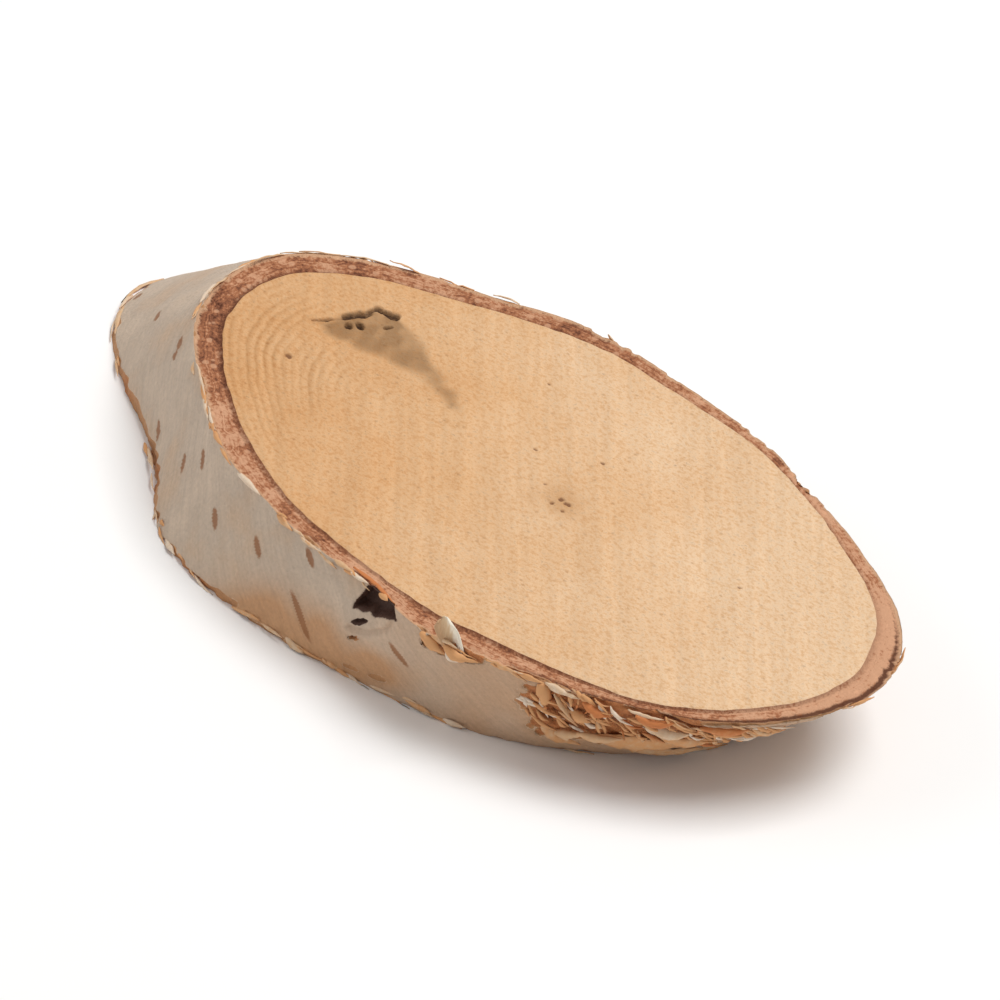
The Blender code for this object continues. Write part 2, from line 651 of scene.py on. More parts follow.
@dataclass(frozen=True)
class PaperBark(Finish):
    """Birch paper bark, weathered on the branch.

    Smooth, pale and a little waxy: to the eye a grey-beige skin with fine lines round the branch, tan
    breathing marks, and tan or rusty under-layers where it has torn. Painted shade darkens the valleys
    between torn layers, the folds by the knot and the knot hole.
    """

    name: str = "weathered_paper_bark"
    grey: str = "#C7B29D"
    warm: str = "#CBAF94"
    cream: str = "#D5C2AD"
    torn_edge: str = "#E6CDB0"
    buff: str = "#C6976E"  # where the grey outermost skin has worn thin
    tan: str = "#C48F62"
    rust: str = "#C47C49"
    # painted shade in the valleys between torn layers and in the folds by the knot
    umber: str = "#69391F"
    mark: str = "#97623A"
    # painted shade inside the knot hole and its eye
    hole_shade: str = "#432114"
    line_mm: float = 0.3  # fine lines round the branch, drawn at their real spacing
    slant: float = radians(45)
    roughness: float = 0.58
    specular: float = 0.35

    def colour_and_height(self, tree: bpy.types.NodeTree) -> tuple[bpy.types.NodeSocket, ...]:
        """Builds the pattern.

        Args:
            tree: The material's node tree.

        Returns:
            The sockets that give the colour and the height of the relief in metres.
        """
        place = add_node(tree, "TexCoord").outputs["Object"]
        layer, mark, pit, deep, worn = (
            add_node(tree, "Attribute", attribute_name=name).outputs["Fac"]
            for name in ("layer", "mark", "pit", "deep", "worn")
        )
        cloud = add_node(tree, "TexNoise", {"Vector": place, "Scale": 1 / (5 * MM), "Detail": 5.0})
        skin = add_node(
            tree, "ValToRGB", {"Fac": cloud.outputs["Fac"]},
            stops=((0.34, self.warm), (0.7, self.cream), (0.5, self.grey)),
        )
        thin = add_node(tree, "Math", {0: cloud.outputs["Fac"], 1: 0.8, 2: worn}, operation="MULTIPLY_ADD")
        is_thin = add_node(tree, "MapRange", {"Value": thin.outputs[0], "From Min": 0.4, "From Max": 1.4})
        skin = add_node(
            tree, "Mix",
            {
                Out.MIX_FACTOR: is_thin.outputs["Result"], Out.MIX_A: skin.outputs[0],
                Out.MIX_B: linear(self.buff),
            },
            data_type="RGBA",
        )
        # lines round the branch: squeezed along its axis, which leans with the cut
        squeezed = add_node(
            tree, "Mapping",
            {"Vector": place, "Rotation": (0, self.slant, 0), "Scale": (5 * MM, 5 * MM, self.line_mm * MM)},
            vector_type="TEXTURE",
        )
        lines = add_node(tree, "TexNoise", {"Vector": squeezed.outputs[0], "Scale": 1.0, "Detail": 3.0})
        grit = add_node(
            tree, "TexNoise", {"Vector": place, "Scale": 1 / (0.3 * MM), "Detail": 4.0, "Roughness": 0.6}
        )
        line_shade = add_node(
            tree,
            "MapRange",
            {"Value": lines.outputs["Fac"], "From Min": 0.3, "From Max": 0.7, "To Min": 0.93, "To Max": 1.04},
        )
        grit_shade = add_node(
            tree, "MapRange",
            {"Value": grit.outputs["Fac"], "From Min": 0.3, "From Max": 0.7, "To Min": 0.91, "To Max": 1.06},
        )
        torn = add_node(tree, "Math", {0: grit.outputs["Fac"], 1: 0.3, 2: layer}, operation="MULTIPLY_ADD")
        under = add_node(
            tree, "ValToRGB", {"Fac": torn.outputs[0]},
            stops=((0.26, self.torn_edge), (1.08, self.rust), (0.42, self.tan), (0.76, self.tan)),
        )
        is_torn = add_node(tree, "MapRange", {"Value": torn.outputs[0], "From Min": 0.22, "From Max": 0.30})
        colour = add_node(
            tree, "Mix",
            {
                Out.MIX_FACTOR: is_torn.outputs["Result"], Out.MIX_A: skin.outputs[Out.MIX_RESULT],
                Out.MIX_B: under.outputs[0],
            },
            data_type="RGBA",
        )
        light = add_node(
            tree, "Math", {0: line_shade.outputs["Result"], 1: grit_shade.outputs["Result"]},
            operation="MULTIPLY",
        )
        colour = add_node(
            tree, "VectorMath", {0: colour.outputs[Out.MIX_RESULT], "Scale": light.outputs[0]},
            operation="SCALE",
        ).outputs[0]
        soft_mark = add_node(
            tree, "Math", {0: grit.outputs["Fac"], 1: 0.5, 2: mark}, operation="MULTIPLY_ADD",
        )
        is_mark = add_node(
            tree, "MapRange",
            {"Value": soft_mark.outputs[0], "From Min": 0.4, "From Max": 0.95, "To Max": 0.85},
        )
        # painted shade in the valleys between torn layers and in the folds by the knot
        seam = add_node(tree, "Math", {0: grit.outputs["Fac"], 1: 0.6, 2: deep}, operation="MULTIPLY_ADD")
        valley_shade = add_node(
            tree, "MapRange", {"Value": seam.outputs[0], "From Min": 0.75, "From Max": 1.25, "To Max": 0.85},
        )
        # the knot hole and its eye are painted dark as the shade inside them
        hollow_shade = add_node(tree, "MapRange", {"Value": pit, "From Min": 0.01, "From Max": 0.1, "To Max": 0.95})
        for amount, over in (
            (is_mark.outputs["Result"], self.mark), (valley_shade.outputs["Result"], self.umber),
            (hollow_shade.outputs["Result"], self.hole_shade),
        ):
            colour = add_node(
                tree, "Mix", {Out.MIX_FACTOR: amount, Out.MIX_A: colour, Out.MIX_B: linear(over)},
                data_type="RGBA",
            ).outputs[Out.MIX_RESULT]
        height = add_node(tree, "Math", {0: grit.outputs["Fac"], 1: 0.05 * MM}, operation="MULTIPLY")
        height = add_node(
            tree, "Math", {0: lines.outputs["Fac"], 1: 0.05 * MM, 2: height.outputs[0]},
            operation="MULTIPLY_ADD",
        )
        rag = add_node(tree, "Math", {0: torn.outputs[0], 1: grit.outputs["Fac"]}, operation="MULTIPLY")
        height = add_node(
            tree, "Math", {0: rag.outputs[0], 1: 0.2 * MM, 2: height.outputs[0]}, operation="MULTIPLY_ADD",
        )
        return colour, height.outputs[0]


@dataclass(frozen=True)
class PeeledPaper(Finish):
    """Thin birch paper that has let go of the bark.

    Cream on its weathered outside, rusty tan on the side that was underneath, with a dry fibrous
    edge: that gives the eye bright slivers against dark gaps.
    """

    name: str = "peeled_birch_paper"
    cream: str = "#EBDAC6"
    buff: str = "#D9B48C"
    tan: str = "#D9A06C"
    rust: str = "#CA7C47"
    roughness: float = 0.6
    specular: float = 0.3

    def colour_and_height(self, tree: bpy.types.NodeTree) -> tuple[bpy.types.NodeSocket, ...]:
        """Builds the pattern.

        Args:
            tree: The material's node tree.

        Returns:
            The sockets that give the colour and the height of the relief in metres.
        """
        place = add_node(tree, "TexCoord").outputs["Object"]
        inside = add_node(tree, "Attribute", attribute_name="inside").outputs["Fac"]
        shade = add_node(tree, "Attribute", attribute_name="shade").outputs["Fac"]
        grit = add_node(
            tree, "TexNoise", {"Vector": place, "Scale": 1 / (0.5 * MM), "Detail": 4.0, "Roughness": 0.6}
        )
        mixed = add_node(tree, "Math", {0: grit.outputs["Fac"], 1: 0.7, 2: shade}, operation="MULTIPLY_ADD")
        outer = add_node(
            tree, "ValToRGB", {"Fac": mixed.outputs[0]},
            stops=((0.25, self.cream), (1.1, self.tan), (0.75, self.buff)),
        )
        under = add_node(
            tree, "ValToRGB", {"Fac": mixed.outputs[0]},
            stops=((0.25, self.buff), (1.1, self.rust), (0.7, self.tan)),
        )
        colour = add_node(
            tree, "Mix", {Out.MIX_FACTOR: inside, Out.MIX_A: outer.outputs[0], Out.MIX_B: under.outputs[0]},
            data_type="RGBA",
        )
        height = add_node(tree, "Math", {0: grit.outputs["Fac"], 1: 0.06 * MM}, operation="MULTIPLY")
        return colour.outputs[Out.MIX_RESULT], height.outputs[0]


@dataclass(frozen=True)
class SplitBirch(Finish):
    """Birch wood split along its fibres: pale, silky, and lined from end to end."""

    name: str = "split_birch_fibre"
    pale: str = "#F7EDDA"
    gold: str = "#E2C39C"
    tan: str = "#CDA47C"
    roughness: float = 0.6

    def colour_and_height(self, tree: bpy.types.NodeTree) -> tuple[bpy.types.NodeSocket, ...]:
        """Builds the pattern.

        Args:
            tree: The material's node tree.

        Returns:
            The sockets that give the colour and the height of the relief in metres.
        """
        place = add_node(tree, "TexCoord").outputs["Object"]
        drawn = add_node(
            tree, "Mapping", {"Vector": place, "Scale": (1 / (0.15 * MM), 1 / (0.15 * MM), 1 / (2 * MM))}
        )
        fibres = add_node(tree, "TexNoise", {"Vector": drawn.outputs[0], "Scale": 1.0, "Detail": 2.0})
        across = add_node(tree, "Attribute", attribute_name="across").outputs["Fac"]
        tone = add_node(tree, "Math", {0: fibres.outputs["Fac"], 1: 0.5, 2: across}, operation="MULTIPLY_ADD")
        colour = add_node(
            tree, "ValToRGB", {"Fac": tone.outputs[0]},
            stops=((0.3, self.tan), (1.0, self.pale), (0.75, self.gold)),
        )
        height = add_node(tree, "Math", {0: fibres.outputs["Fac"], 1: 0.05 * MM}, operation="MULTIPLY")
        return colour.outputs[0], height.outputs[0]


# ---------------------------------------------------------------- the shape of the branch


@dataclass(frozen=True)
class Branch:
    """The branch between its two saw cuts, with the CAD solid's own sizes.

    A place on it is an angle round the pith, seen from above, and a drop: the share of the way
    down from the upper face to the lower one.
    """

    thickness: float
    depth: float = 0.0458
    width: float = 0.0394
    slant: float = radians(45)
    rim_points: int = 721
    # (times round, share of the radius, angle of a crest)
    lobes: tuple[tuple[int, float, float], ...] = (
        (2, 0.009, radians(96)), (3, 0.015, radians(43)), (4, 0.018, radians(6)), (5, 0.009, radians(33)),
        (6, 0.008, radians(-8)), (7, 0.009, radians(21)),
    )
    # (degrees round, spread in degrees, height at the upper face, height at the lower face)
    swells: tuple[tuple[float, float, float, float], ...] = (
        (181, 9, -0.0007, 0.0), (158, 26, 0.0, 0.0021), (97, 24, -0.0007, 0.0), (75, 18, 0.0, -0.0008),
        (40, 29, -0.0007, 0.0), (15, 16, 0.0009, 0.0), (-42, 16, 0.0, 0.0013), (-89, 15, -0.0013, 0.0),
        (-110, 20, 0.0, 0.0015), (-138, 12, 0.0005, 0.0), (-154, 22, 0.0, -0.0025),
    )
    # the inner bark's width on the sawn face: (degrees, millimetres)
    inner_bark: tuple[tuple[float, float], ...] = (
        (-180, 2.45), (-165, 2.6), (-150, 2.15), (-137, 2.55), (-122, 1.9), (-108, 1.9), (-90, 1.35),
        (-76, 2.2), (-65, 2.75), (-50, 2.3), (-28, 1.45), (-8, 2.2), (12, 2.5), (28, 1.7), (42, 1.1),
        (55, 0.85), (75, 1.0), (95, 1.25), (120, 1.8), (135, 1.95), (152, 2.4), (168, 2.6),
    )

    def bark_radius(self, angle: np.ndarray, drop: np.ndarray) -> np.ndarray:
        """Distance from the pith to the outside of the bark.

        Args:
            angle: Angles round the pith.
            drop: Drops, one for each angle.

        Returns:
            The radii.
        """
        half_length = self.depth / 2 / cos(self.slant)
        half_width = self.width / 2
        oval = half_length * half_width / np.hypot(half_width * np.cos(angle), half_length * np.sin(angle))
        radius = oval * (1 + sum(s * np.cos(n * (angle - crest)) for n, s, crest in self.lobes))
        for middle, spread, upper, lower in self.swells:
            height = upper + drop * (lower - upper)
            away = turn_between(angle, radians(middle)) / radians(spread)
            radius = radius + height * np.exp(-(away**2))
        return radius

    def bark_width(self, angle: np.ndarray) -> np.ndarray:
        """How wide the inner bark shows on a sawn face.

        Args:
            angle: Angles round the pith.

        Returns:
            The widths, joined smoothly from one stated angle to the next.
        """
        at = np.array([a for a, _ in self.inner_bark], float)
        wide = np.array([w for _, w in self.inner_bark], float)
        fine = np.arange(-180, 180, 2.0)
        plain = np.interp(fine, at, wide, period=360)
        window = np.hanning(9)
        padded = np.concatenate([plain[-4:], plain, plain[:4]])
        soft = np.convolve(padded, window / window.sum(), mode="valid")
        return np.interp(np.degrees(angle), fine, soft, period=360) * MM

    def place(self, angle: np.ndarray, drop: np.ndarray, radius: np.ndarray) -> np.ndarray:
        """Places at given angles, drops and distances from the pith.

        Args:
            angle: Angles round the pith.
            drop: Drops, one for each angle.
            radius: Distances from the pith.

        Returns:
            One row of x, y and z for each, before the slice is centred.
        """
        lean = drop * self.thickness * tan(self.slant)
        high = self.thickness * (1 - drop)
        return np.stack([radius * np.cos(angle) - lean, radius * np.sin(angle), high], axis=-1)

    def plain_rims(self) -> np.ndarray:
        """Points round both rims, before the slice is centred."""
        angle = np.linspace(-pi, pi, self.rim_points)
        rims = [self.place(angle, np.full(len(angle), d), self.bark_radius(angle, d)) for d in (0.0, 1.0)]
        return np.concatenate(rims)

    @cached_property
    def middle(self) -> np.ndarray:
        """How far to shift the slice so that its box is centred, as the CAD solid's is."""
        low, high = (np.array(corner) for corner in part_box(NODE))
        own = self.plain_rims()
        shift = (low + high) / 2 - (own.min(axis=0) + own.max(axis=0)) / 2
        return np.array([shift[0], shift[1], 0.0])

    def rims(self) -> np.ndarray:
        """Points round both rims, where they lie."""
        return self.plain_rims() + self.middle

    def axes(self) -> np.ndarray:
        """Rows: across the branch in the plane of the slant, across it sideways, and along it."""
        c, s = cos(self.slant), sin(self.slant)
        return np.array([[c, 0, -s], [0, 1, 0], [s, 0, c]])


class Layer(float, Enum):
    """How deep the bark has torn."""

    WHOLE = 0.0
    TAN = 0.5
    RUST = 1.0


@dataclass(frozen=True)
class Tear:
    """A patch where paper bark is missing, with half sizes in millimetres."""

    angle: float  # degrees, at its middle
    drop: float
    wide_mm: float
    high_mm: float
    layer: Layer
    skew: float = 0.0  # how far its sides lean round the branch for each step down
    square: float = 2.0  # 2 makes an oval, more a squarer patch


@dataclass(frozen=True)
class BreathingMark:
    """A lenticel: a short brown dash round the branch."""

    angle: float  # degrees
    drop: float
    long_mm: float


# ---------------------------------------------------------------- the slice itself


@dataclass
class SliceBody:
    """The slice: sawn wood, inner bark and paper bark in one closed skin."""

    branch: Branch
    around: int = 800
    bark_rows: int = 9
    wall_rows: int = 70
    face_step_mm: float = 0.42
    fine_step_mm: float = 0.11
    fine_margin_mm: float = 1.1  # how far the fine area goes past a crack or spot
    tears: tuple[Tear, ...] = (
        Tear(-64.5, 0.05, 2.5, 1.0, Layer.RUST), Tear(-27.0, 0.36, 6.6, 3.7, Layer.RUST, 0.5, 3.5),
        Tear(-62.5, 0.84, 0.7, 0.35, Layer.TAN), Tear(-67.5, 0.88, 0.8, 0.3, Layer.TAN),
        Tear(-76.0, 0.52, 0.35, 0.3, Layer.RUST), Tear(-2.0, 0.12, 2.6, 0.9, Layer.TAN),
        Tear(20, 0.48, 3.0, 2.6, Layer.TAN), Tear(38, 0.60, 2.0, 0.9, Layer.RUST),
        Tear(66, 0.72, 3.6, 1.6, Layer.TAN), Tear(99, 0.28, 2.6, 1.4, Layer.TAN),
        Tear(118, 0.86, 2.2, 1.0, Layer.RUST), Tear(150, 0.55, 3.0, 1.2, Layer.TAN),
    )
    # breathing marks: (degrees, drop, millimetres long)
    marks: tuple[BreathingMark, ...] = tuple(
        BreathingMark(*row) for row in (
            (-150.5, 0.75, 1.9), (-139, 0.53, 1.8), (-137.5, 0.28, 1.8), (-121.5, 0.48, 1.9),
            (-110.5, 0.36, 1.9), (-103, 0.12, 1.7), (-87, 0.66, 4.4), (-67, 0.43, 2.6), (-164.5, 0.17, 1.4),
            (-162.5, 0.24, 0.9), (-173, 0.50, 1.2), (-180, 0.88, 1.1), (12, 0.30, 2.2), (31, 0.62, 1.6),
            (52, 0.35, 2.8), (58, 0.80, 1.4), (81, 0.55, 2.4), (86, 0.15, 1.5), (108, 0.65, 3.0),
            (127, 0.40, 1.7), (136, 0.78, 2.0), (149, 0.20, 1.6), (163, 0.60, 1.3),
        )
    )
    # where the grey outermost skin has worn thin: (degrees at the upper rim, spread, amount)
    worn: tuple[tuple[float, float, float], ...] = (
        (-66, 17, 0.4), (-47, 22, 0.75), (-15, 22, 0.7), (95, 24, 0.3),
    )
    # the inner bark round the slice: (degrees, how pale, how open the gap under the paper, which is sunk and
    # painted dark as its shade)
    ring_tone: tuple[tuple[float, float, float], ...] = (
        (-180, 0.15, 0.0), (-165, 0.0, 0.2), (-150, 0.3, 0.0), (-135, 0.45, 0.0), (-118, 0.35, 0.0),
        (-108, 0.2, 0.4), (-98, 0.55, 0.0), (-85, 0.4, 0.0), (-74, 0.15, 0.0), (-55, 0.3, 0.2),
        (-38, 0.3, 0.6), (-20, 0.4, 0.7), (-5, 0.6, 1.0), (10, 0.7, 0.8), (22, 0.8, 0.3), (32, 0.4, 0.0),
        (50, 0.55, 0.0), (68, 0.2, 0.0), (95, 0.35, 0.0), (120, 0.1, 0.3), (150, 0.25, 0.0),
    )
    # the knot, side on: (place along X, how far below the rim or, if less than 0, in from it)
    knot_mm: tuple[tuple[float, float], ...] = (
        (0.7, -0.2), (0.0, 0.4), (-0.45, 2.35), (1.6, 1.75), (3.85, 0.75), (3.0, -0.3),
    )
    knot_eye_mm: tuple[float, float] = (0.65, 2.95)
    knot_fold_mm: tuple[tuple[float, float], ...] = ((-0.2, 3.9), (1.7, 3.3), (3.2, 2.1), (3.6, 1.1))
    knot_angle: float = radians(-82)
    knot_reach: float = 0.5  # radians either side of it
    mark_half_mm: float = 0.30  # half of a breathing mark's height
    # the drying crack and its two spurs, as a line and its half width each
    cracks_mm: tuple[tuple[tuple[tuple[float, float], ...], float], ...] = (
        (((-25.1, 1.2), (-24.5, 2.1), (-23.8, 3.2), (-23.4, 4.1)), 0.15),
        (((-23.7, 3.6), (-23.4, 4.4), (-23.3, 5.7), (-23.0, 6.3), (-22.3, 6.5), (-21.6, 6.7)), 0.30),
        (((-23.3, 3.15), (-22.9, 2.75)), 0.2), (((-22.6, 3.9), (-22.2, 3.6)), 0.17),
        (((-21.0, 5.2), (-20.8, 5.6)), 0.12),
    )
    stain_mm: tuple[tuple[float, float], ...] = (
        (-24.9, 1.0), (-23.0, 0.6), (-20.9, 1.2), (-18.9, 2.0), (-17.0, 2.5), (-15.3, 2.8), (-13.4, 2.4),
        (-11.4, 1.9), (-10.3, 2.1), (-10.9, 3.1), (-12.6, 3.9), (-15.0, 4.9), (-16.4, 5.3), (-19.1, 6.5),
        (-21.4, 7.0), (-23.3, 6.6),
    )
    pith_mm: tuple[float, float] = (2.2, 0.3)
    # small dark spots: (x, y, half size)
    flecks_mm: tuple[tuple[float, float, float], ...] = (
        (-23.1, -3.7, 0.26), (1.8, -0.3, 0.2), (1.9, 0.6, 0.24), (2.6, 0.6, 0.2), (2.9, -0.3, 0.16),
        (-0.2, 1.0, 0.13), (-3.6, 3.6, 0.14), (0.8, 6.6, 0.14), (12.5, -6.0, 0.13), (-8.5, 10.5, 0.12),
        (17.5, 4.0, 0.12),
    )

    def angles(self) -> np.ndarray:
        """The angles of the mesh's columns."""
        return np.linspace(-pi, pi, self.around, endpoint=False)

    def flat(self, angle: np.ndarray, drop: np.ndarray) -> np.ndarray:
        """Places on the plain bark, in millimetres, for noise to be read at."""
        return self.branch.place(angle, drop, self.branch.bark_radius(angle, drop)) / MM

    def tear_depth(self, tear: Tear, angle: np.ndarray, drop: np.ndarray, spots: np.ndarray) -> np.ndarray:
        """How far inside a torn patch places lie.

        Args:
            tear: The patch.
            angle: Angles round the pith.
            drop: Drops, one for each angle.
            spots: The same places in millimetres.

        Returns:
            Above zero inside the ragged outline, below zero outside.
        """
        radius = self.branch.bark_radius(angle, drop) / MM
        down = (drop - tear.drop) * self.branch.thickness / MM
        sideways = turn_between(angle, radians(tear.angle)) * radius - tear.skew * down
        power = tear.square
        wide, high = np.abs(sideways) / tear.wide_mm, np.abs(down) / tear.high_mm
        away = (wide**power + high**power) ** (1 / power)
        seed = int(tear.angle) + 400
        return 1 - away + 0.2 * noise(spots, 2.2, seed) + 0.12 * noise(spots, 0.7, seed + 1)

    def knot_depth(self, across_mm: np.ndarray, down_mm: np.ndarray, angle: np.ndarray) -> np.ndarray:
        """How much of the knot hole there is.

        Args:
            across_mm: Places along X.
            down_mm: Distances below the rim, or in from it if less than 0.
            angle: Angles round the pith.

        Returns:
            1 in the hole, 0 outside it.
        """
        places = np.stack([across_mm.ravel(), down_mm.ravel()], axis=1)
        ragged = places + 0.12 * np.stack([noise(np.pad(places, ((0, 0), (0, 1))), 0.6, 71)] * 2, axis=1)
        depth = ramp(inside_outline(ragged, self.knot_mm), -0.05, 0.18).reshape(across_mm.shape)
        return depth * (np.abs(turn_between(angle, self.knot_angle)) < self.knot_reach)

    def rim_rag(self, angle: np.ndarray, spots: np.ndarray) -> tuple[np.ndarray, np.ndarray]:
        """How much paper bark has torn off along the two rims.

        Args:
            angle: Angles round the pith.
            spots: Places on the rim at those angles, in millimetres.

        Returns:
            The width of the torn edge at the lower rim and at the upper one, in millimetres.
        """
        low = 0.35 + 0.5 * noise(spots, 4.0, 5) + 0.3 * noise(spots, 0.8, 6)
        low += 0.85 * np.exp(-((turn_between(angle, radians(-150)) / radians(20)) ** 4))
        top = -0.05 + 0.35 * noise(spots, 3.0, 7) + 0.22 * noise(spots, 0.6, 8)
        top += 0.6 * np.exp(-((turn_between(angle, radians(-25)) / radians(22)) ** 2))
        return low, top

    def wall(self) -> tuple[np.ndarray, dict[str, np.ndarray]]:
        """The bark's outside, row by row from the upper rim to the lower.

        Returns:
            Its points as rows by angles, and the numbers its finish reads.
        """
        branch = self.branch
        step = np.linspace(0, 1, self.wall_rows)
        drops = step - 0.06 * np.sin(2 * pi * step)  # closer rows near the rims
        angle, drop = np.meshgrid(self.angles(), drops)
        shape = angle.shape
        angle, drop = angle.ravel(), drop.ravel()
        spots = self.flat(angle, drop)
        on_branch = spots @ branch.axes().T
        thickness_mm = branch.thickness / MM
        layer = np.zeros(len(angle))
        lift = np.zeros(len(angle))
        for tear in self.tears:
            inside = self.tear_depth(tear, angle, drop, spots)
            layer = np.maximum(layer, tear.layer.value * ramp(inside, 0.0, 0.08))
            lift = np.maximum(lift, np.exp(-((inside / 0.10) ** 2)) * (inside < 0))
        low_rag, top_rag = self.rim_rag(angle, self.flat(angle, np.zeros(len(angle))))
        from_low = (1 - drop) * thickness_mm
        from_top = drop * thickness_mm
        low_torn = ramp(low_rag - from_low, 0.0, 0.15)
        top_torn = ramp(top_rag - from_top, 0.0, 0.15)
        rim_tone = 0.62 + 0.25 * noise(spots, 2.5, 9)
        layer = np.maximum(layer, np.maximum(low_torn, top_torn) * rim_tone)
        # rusty layers have split into ridges round the branch; deep sinks the valleys between them and marks
        # them for painted shade
        split = rough_noise(on_branch * np.array([0.4, 0.4, 1.7]), 1.0, 26)
        rusty = ramp(layer, 0.6, 0.95)
        deep = ramp(-split, -0.05, 0.45) * rusty
        # millimetres outwards
        out = 0.20 * rough_noise(spots, 6.0, 21) + 0.05 * rough_noise(spots, 1.1, 22)
        out += 0.05 * rough_noise(on_branch * np.array([0.25, 0.25, 1.6]), 1.0, 23)
        out -= 0.16 * layer + 0.38 * deep - 0.10 * rusty * ramp(split, 0.0, 0.5)
        out += 0.12 * lift * (1 - ramp(layer, 0.0, 0.2))
        crumble = 0.5 + 0.5 * rough_noise(spots, 0.5, 24)
        out -= low_torn * ramp(low_rag - from_low, 0.0, 1.2) * (0.2 + 0.3 * crumble)
        out -= top_torn * (0.08 + 0.2 * crumble)
        mark = self.breathing(angle, on_branch) * (layer < 0.3)
        out += 0.08 * np.sin(np.clip(mark, 0, 1) * pi) - 0.04 * mark
        # the knot: a hole under the rim, and a small eye with folds below it; pit marks where the bark
        # finishes paint shade in the hole and the eye
        pit = self.knot_depth(spots[:, 0], from_top, angle)
        out -= (0.25 + 0.95 * ramp(from_top, 0.1, 0.7)) * pit
        near_knot = np.abs(turn_between(angle, self.knot_angle)) < self.knot_reach
        gap_x = spots[:, 0] - self.knot_eye_mm[0]
        gap_y = from_top - self.knot_eye_mm[1] + 0.6 * gap_x
        eye = np.where(near_knot, np.hypot(gap_x / 0.7, gap_y / 0.25), 9)
        pit = np.maximum(pit, ramp(eye, 1.0, 0.7))
        out -= 0.5 * ramp(eye, 1.1, 0.6)
        fold, _ = near_line(np.stack([spots[:, 0], from_top], axis=1), np.array(self.knot_fold_mm))
        fold = np.where(near_knot, fold, 9)
        out -= 0.2 * np.exp(-((fold / 0.16) ** 2))
        out += 0.12 * np.exp(-(((fold - 0.45) / 0.2) ** 2))
        # the folds are marked for painted shade too
        deep = np.maximum(deep, 0.45 * np.exp(-((fold / 0.16) ** 2)))
        radius = branch.bark_radius(angle, drop) + out * MM
        points = branch.place(angle, drop, radius)
        worn = np.zeros(len(angle))
        for middle, spread, amount in self.worn:
            away = turn_between(angle - drop * radians(14), radians(middle))
            worn = np.maximum(worn, amount * np.exp(-((away / radians(spread)) ** 4)))
        lower = np.exp(-((turn_between(angle, radians(-78)) / radians(24)) ** 4)) * ramp(drop, 0.25, 0.85)
        worn = np.maximum(worn, 1.5 * lower)
        worn *= 0.8 + 0.3 * noise(spots, 2.6, 27)
        numbers = {"layer": layer, "mark": mark, "pit": pit, "deep": deep, "worn": worn}
        return points.reshape(*shape, 3), {k: v.reshape(shape) for k, v in numbers.items()}

    def breathing(self, angle: np.ndarray, on_branch: np.ndarray) -> np.ndarray:
        """How much of a breathing mark there is.

        Args:
            angle: Angles round the pith.
            on_branch: The same places in millimetres, across and along the branch.

        Returns:
            1 in the middle of a mark, 0 away from them all.
        """
        mark = np.zeros(len(angle))
        for dash in self.marks:
            middle = self.flat(np.array([radians(dash.angle)]), np.array([dash.drop])) @ self.branch.axes().T
            gap = on_branch - middle
            near = np.abs(turn_between(angle, radians(dash.angle))) < radians(12)
            away = np.hypot(
                np.hypot(gap[:, 0], gap[:, 1]) / (dash.long_mm / 2), gap[:, 2] / self.mark_half_mm,
            )
            mark = np.maximum(mark, np.clip((1.15 - away) * 2.2, 0, 1) * near)
        return mark

    def bark_face(self, rim: np.ndarray, drop: float) -> tuple[np.ndarray, dict[str, np.ndarray]]:
        """The sawn inner bark of one face, row by row from the wood to just inside the rim.

        Args:
            rim: The wall's outermost row on this face.
            drop: 0 for the upper face, 1 for the lower one.

        Returns:
            Its points as rows by angles, and the numbers its finish reads.
        """
        branch = self.branch
        angle = self.angles()
        full = np.full(self.around, drop)
        spots = self.flat(angle, full)
        pith = np.array([-drop * branch.thickness * tan(branch.slant), 0.0])
        rim_radius = np.linalg.norm(rim[:, :2] - pith, axis=1)
        plain_radius = branch.bark_radius(angle, full)
        wood = plain_radius - branch.bark_width(angle + drop * 0.5)
        wood += (0.12 * noise(spots, 4.0, 31) + 0.07 * noise(spots, 1.1, 32)) * MM
        outer = np.maximum(rim_radius, plain_radius - 0.4 * MM)  # the knot bites no deeper than this
        share = np.arange(self.bark_rows)[:, None] / self.bark_rows
        radius = np.minimum(wood + (outer - wood) * share, np.maximum(rim_radius, wood))
        tall = (self.bark_rows, 1)
        points = branch.place(np.tile(angle, tall), np.tile(full, tall), radius)
        inward = (plain_radius - radius) / MM
        pit = self.knot_depth(points[..., 0] / MM, -inward, np.tile(angle, tall)) * (1 - drop)
        flat_points = points.reshape(-1, 3) / MM
        grains = rough_noise(flat_points, 0.6, 33).reshape(radius.shape)
        # a groove by the wood, where the inner bark dried away; its finish paints a shadow line along it
        sunk = 0.05 + 0.09 * (0.5 + 0.5 * grains) + 0.12 * np.exp(-(((share - 0.12) / 0.1) ** 2))
        sunk = sunk * ramp(share, 0.0, 0.12) + 0.5 * pit
        sign = 1 - 2 * drop
        points[..., 2] -= sign * sunk * MM
        degrees_round, paleness, gaps = np.array(self.ring_tone).T
        pale = np.interp(np.degrees(angle), degrees_round, paleness, period=360)
        gap = np.interp(np.degrees(angle), degrees_round, gaps, period=360)
        ring = np.tile(share, (1, self.around))
        numbers = {
            "ring": ring, "pit": pit, "pale": np.tile(pale, tall),
            "gap": gap * np.exp(-(((ring - 0.8) / 0.1) ** 2)),
        }
        points[..., 2] -= sign * 0.25 * MM * numbers["gap"]
        return points, numbers

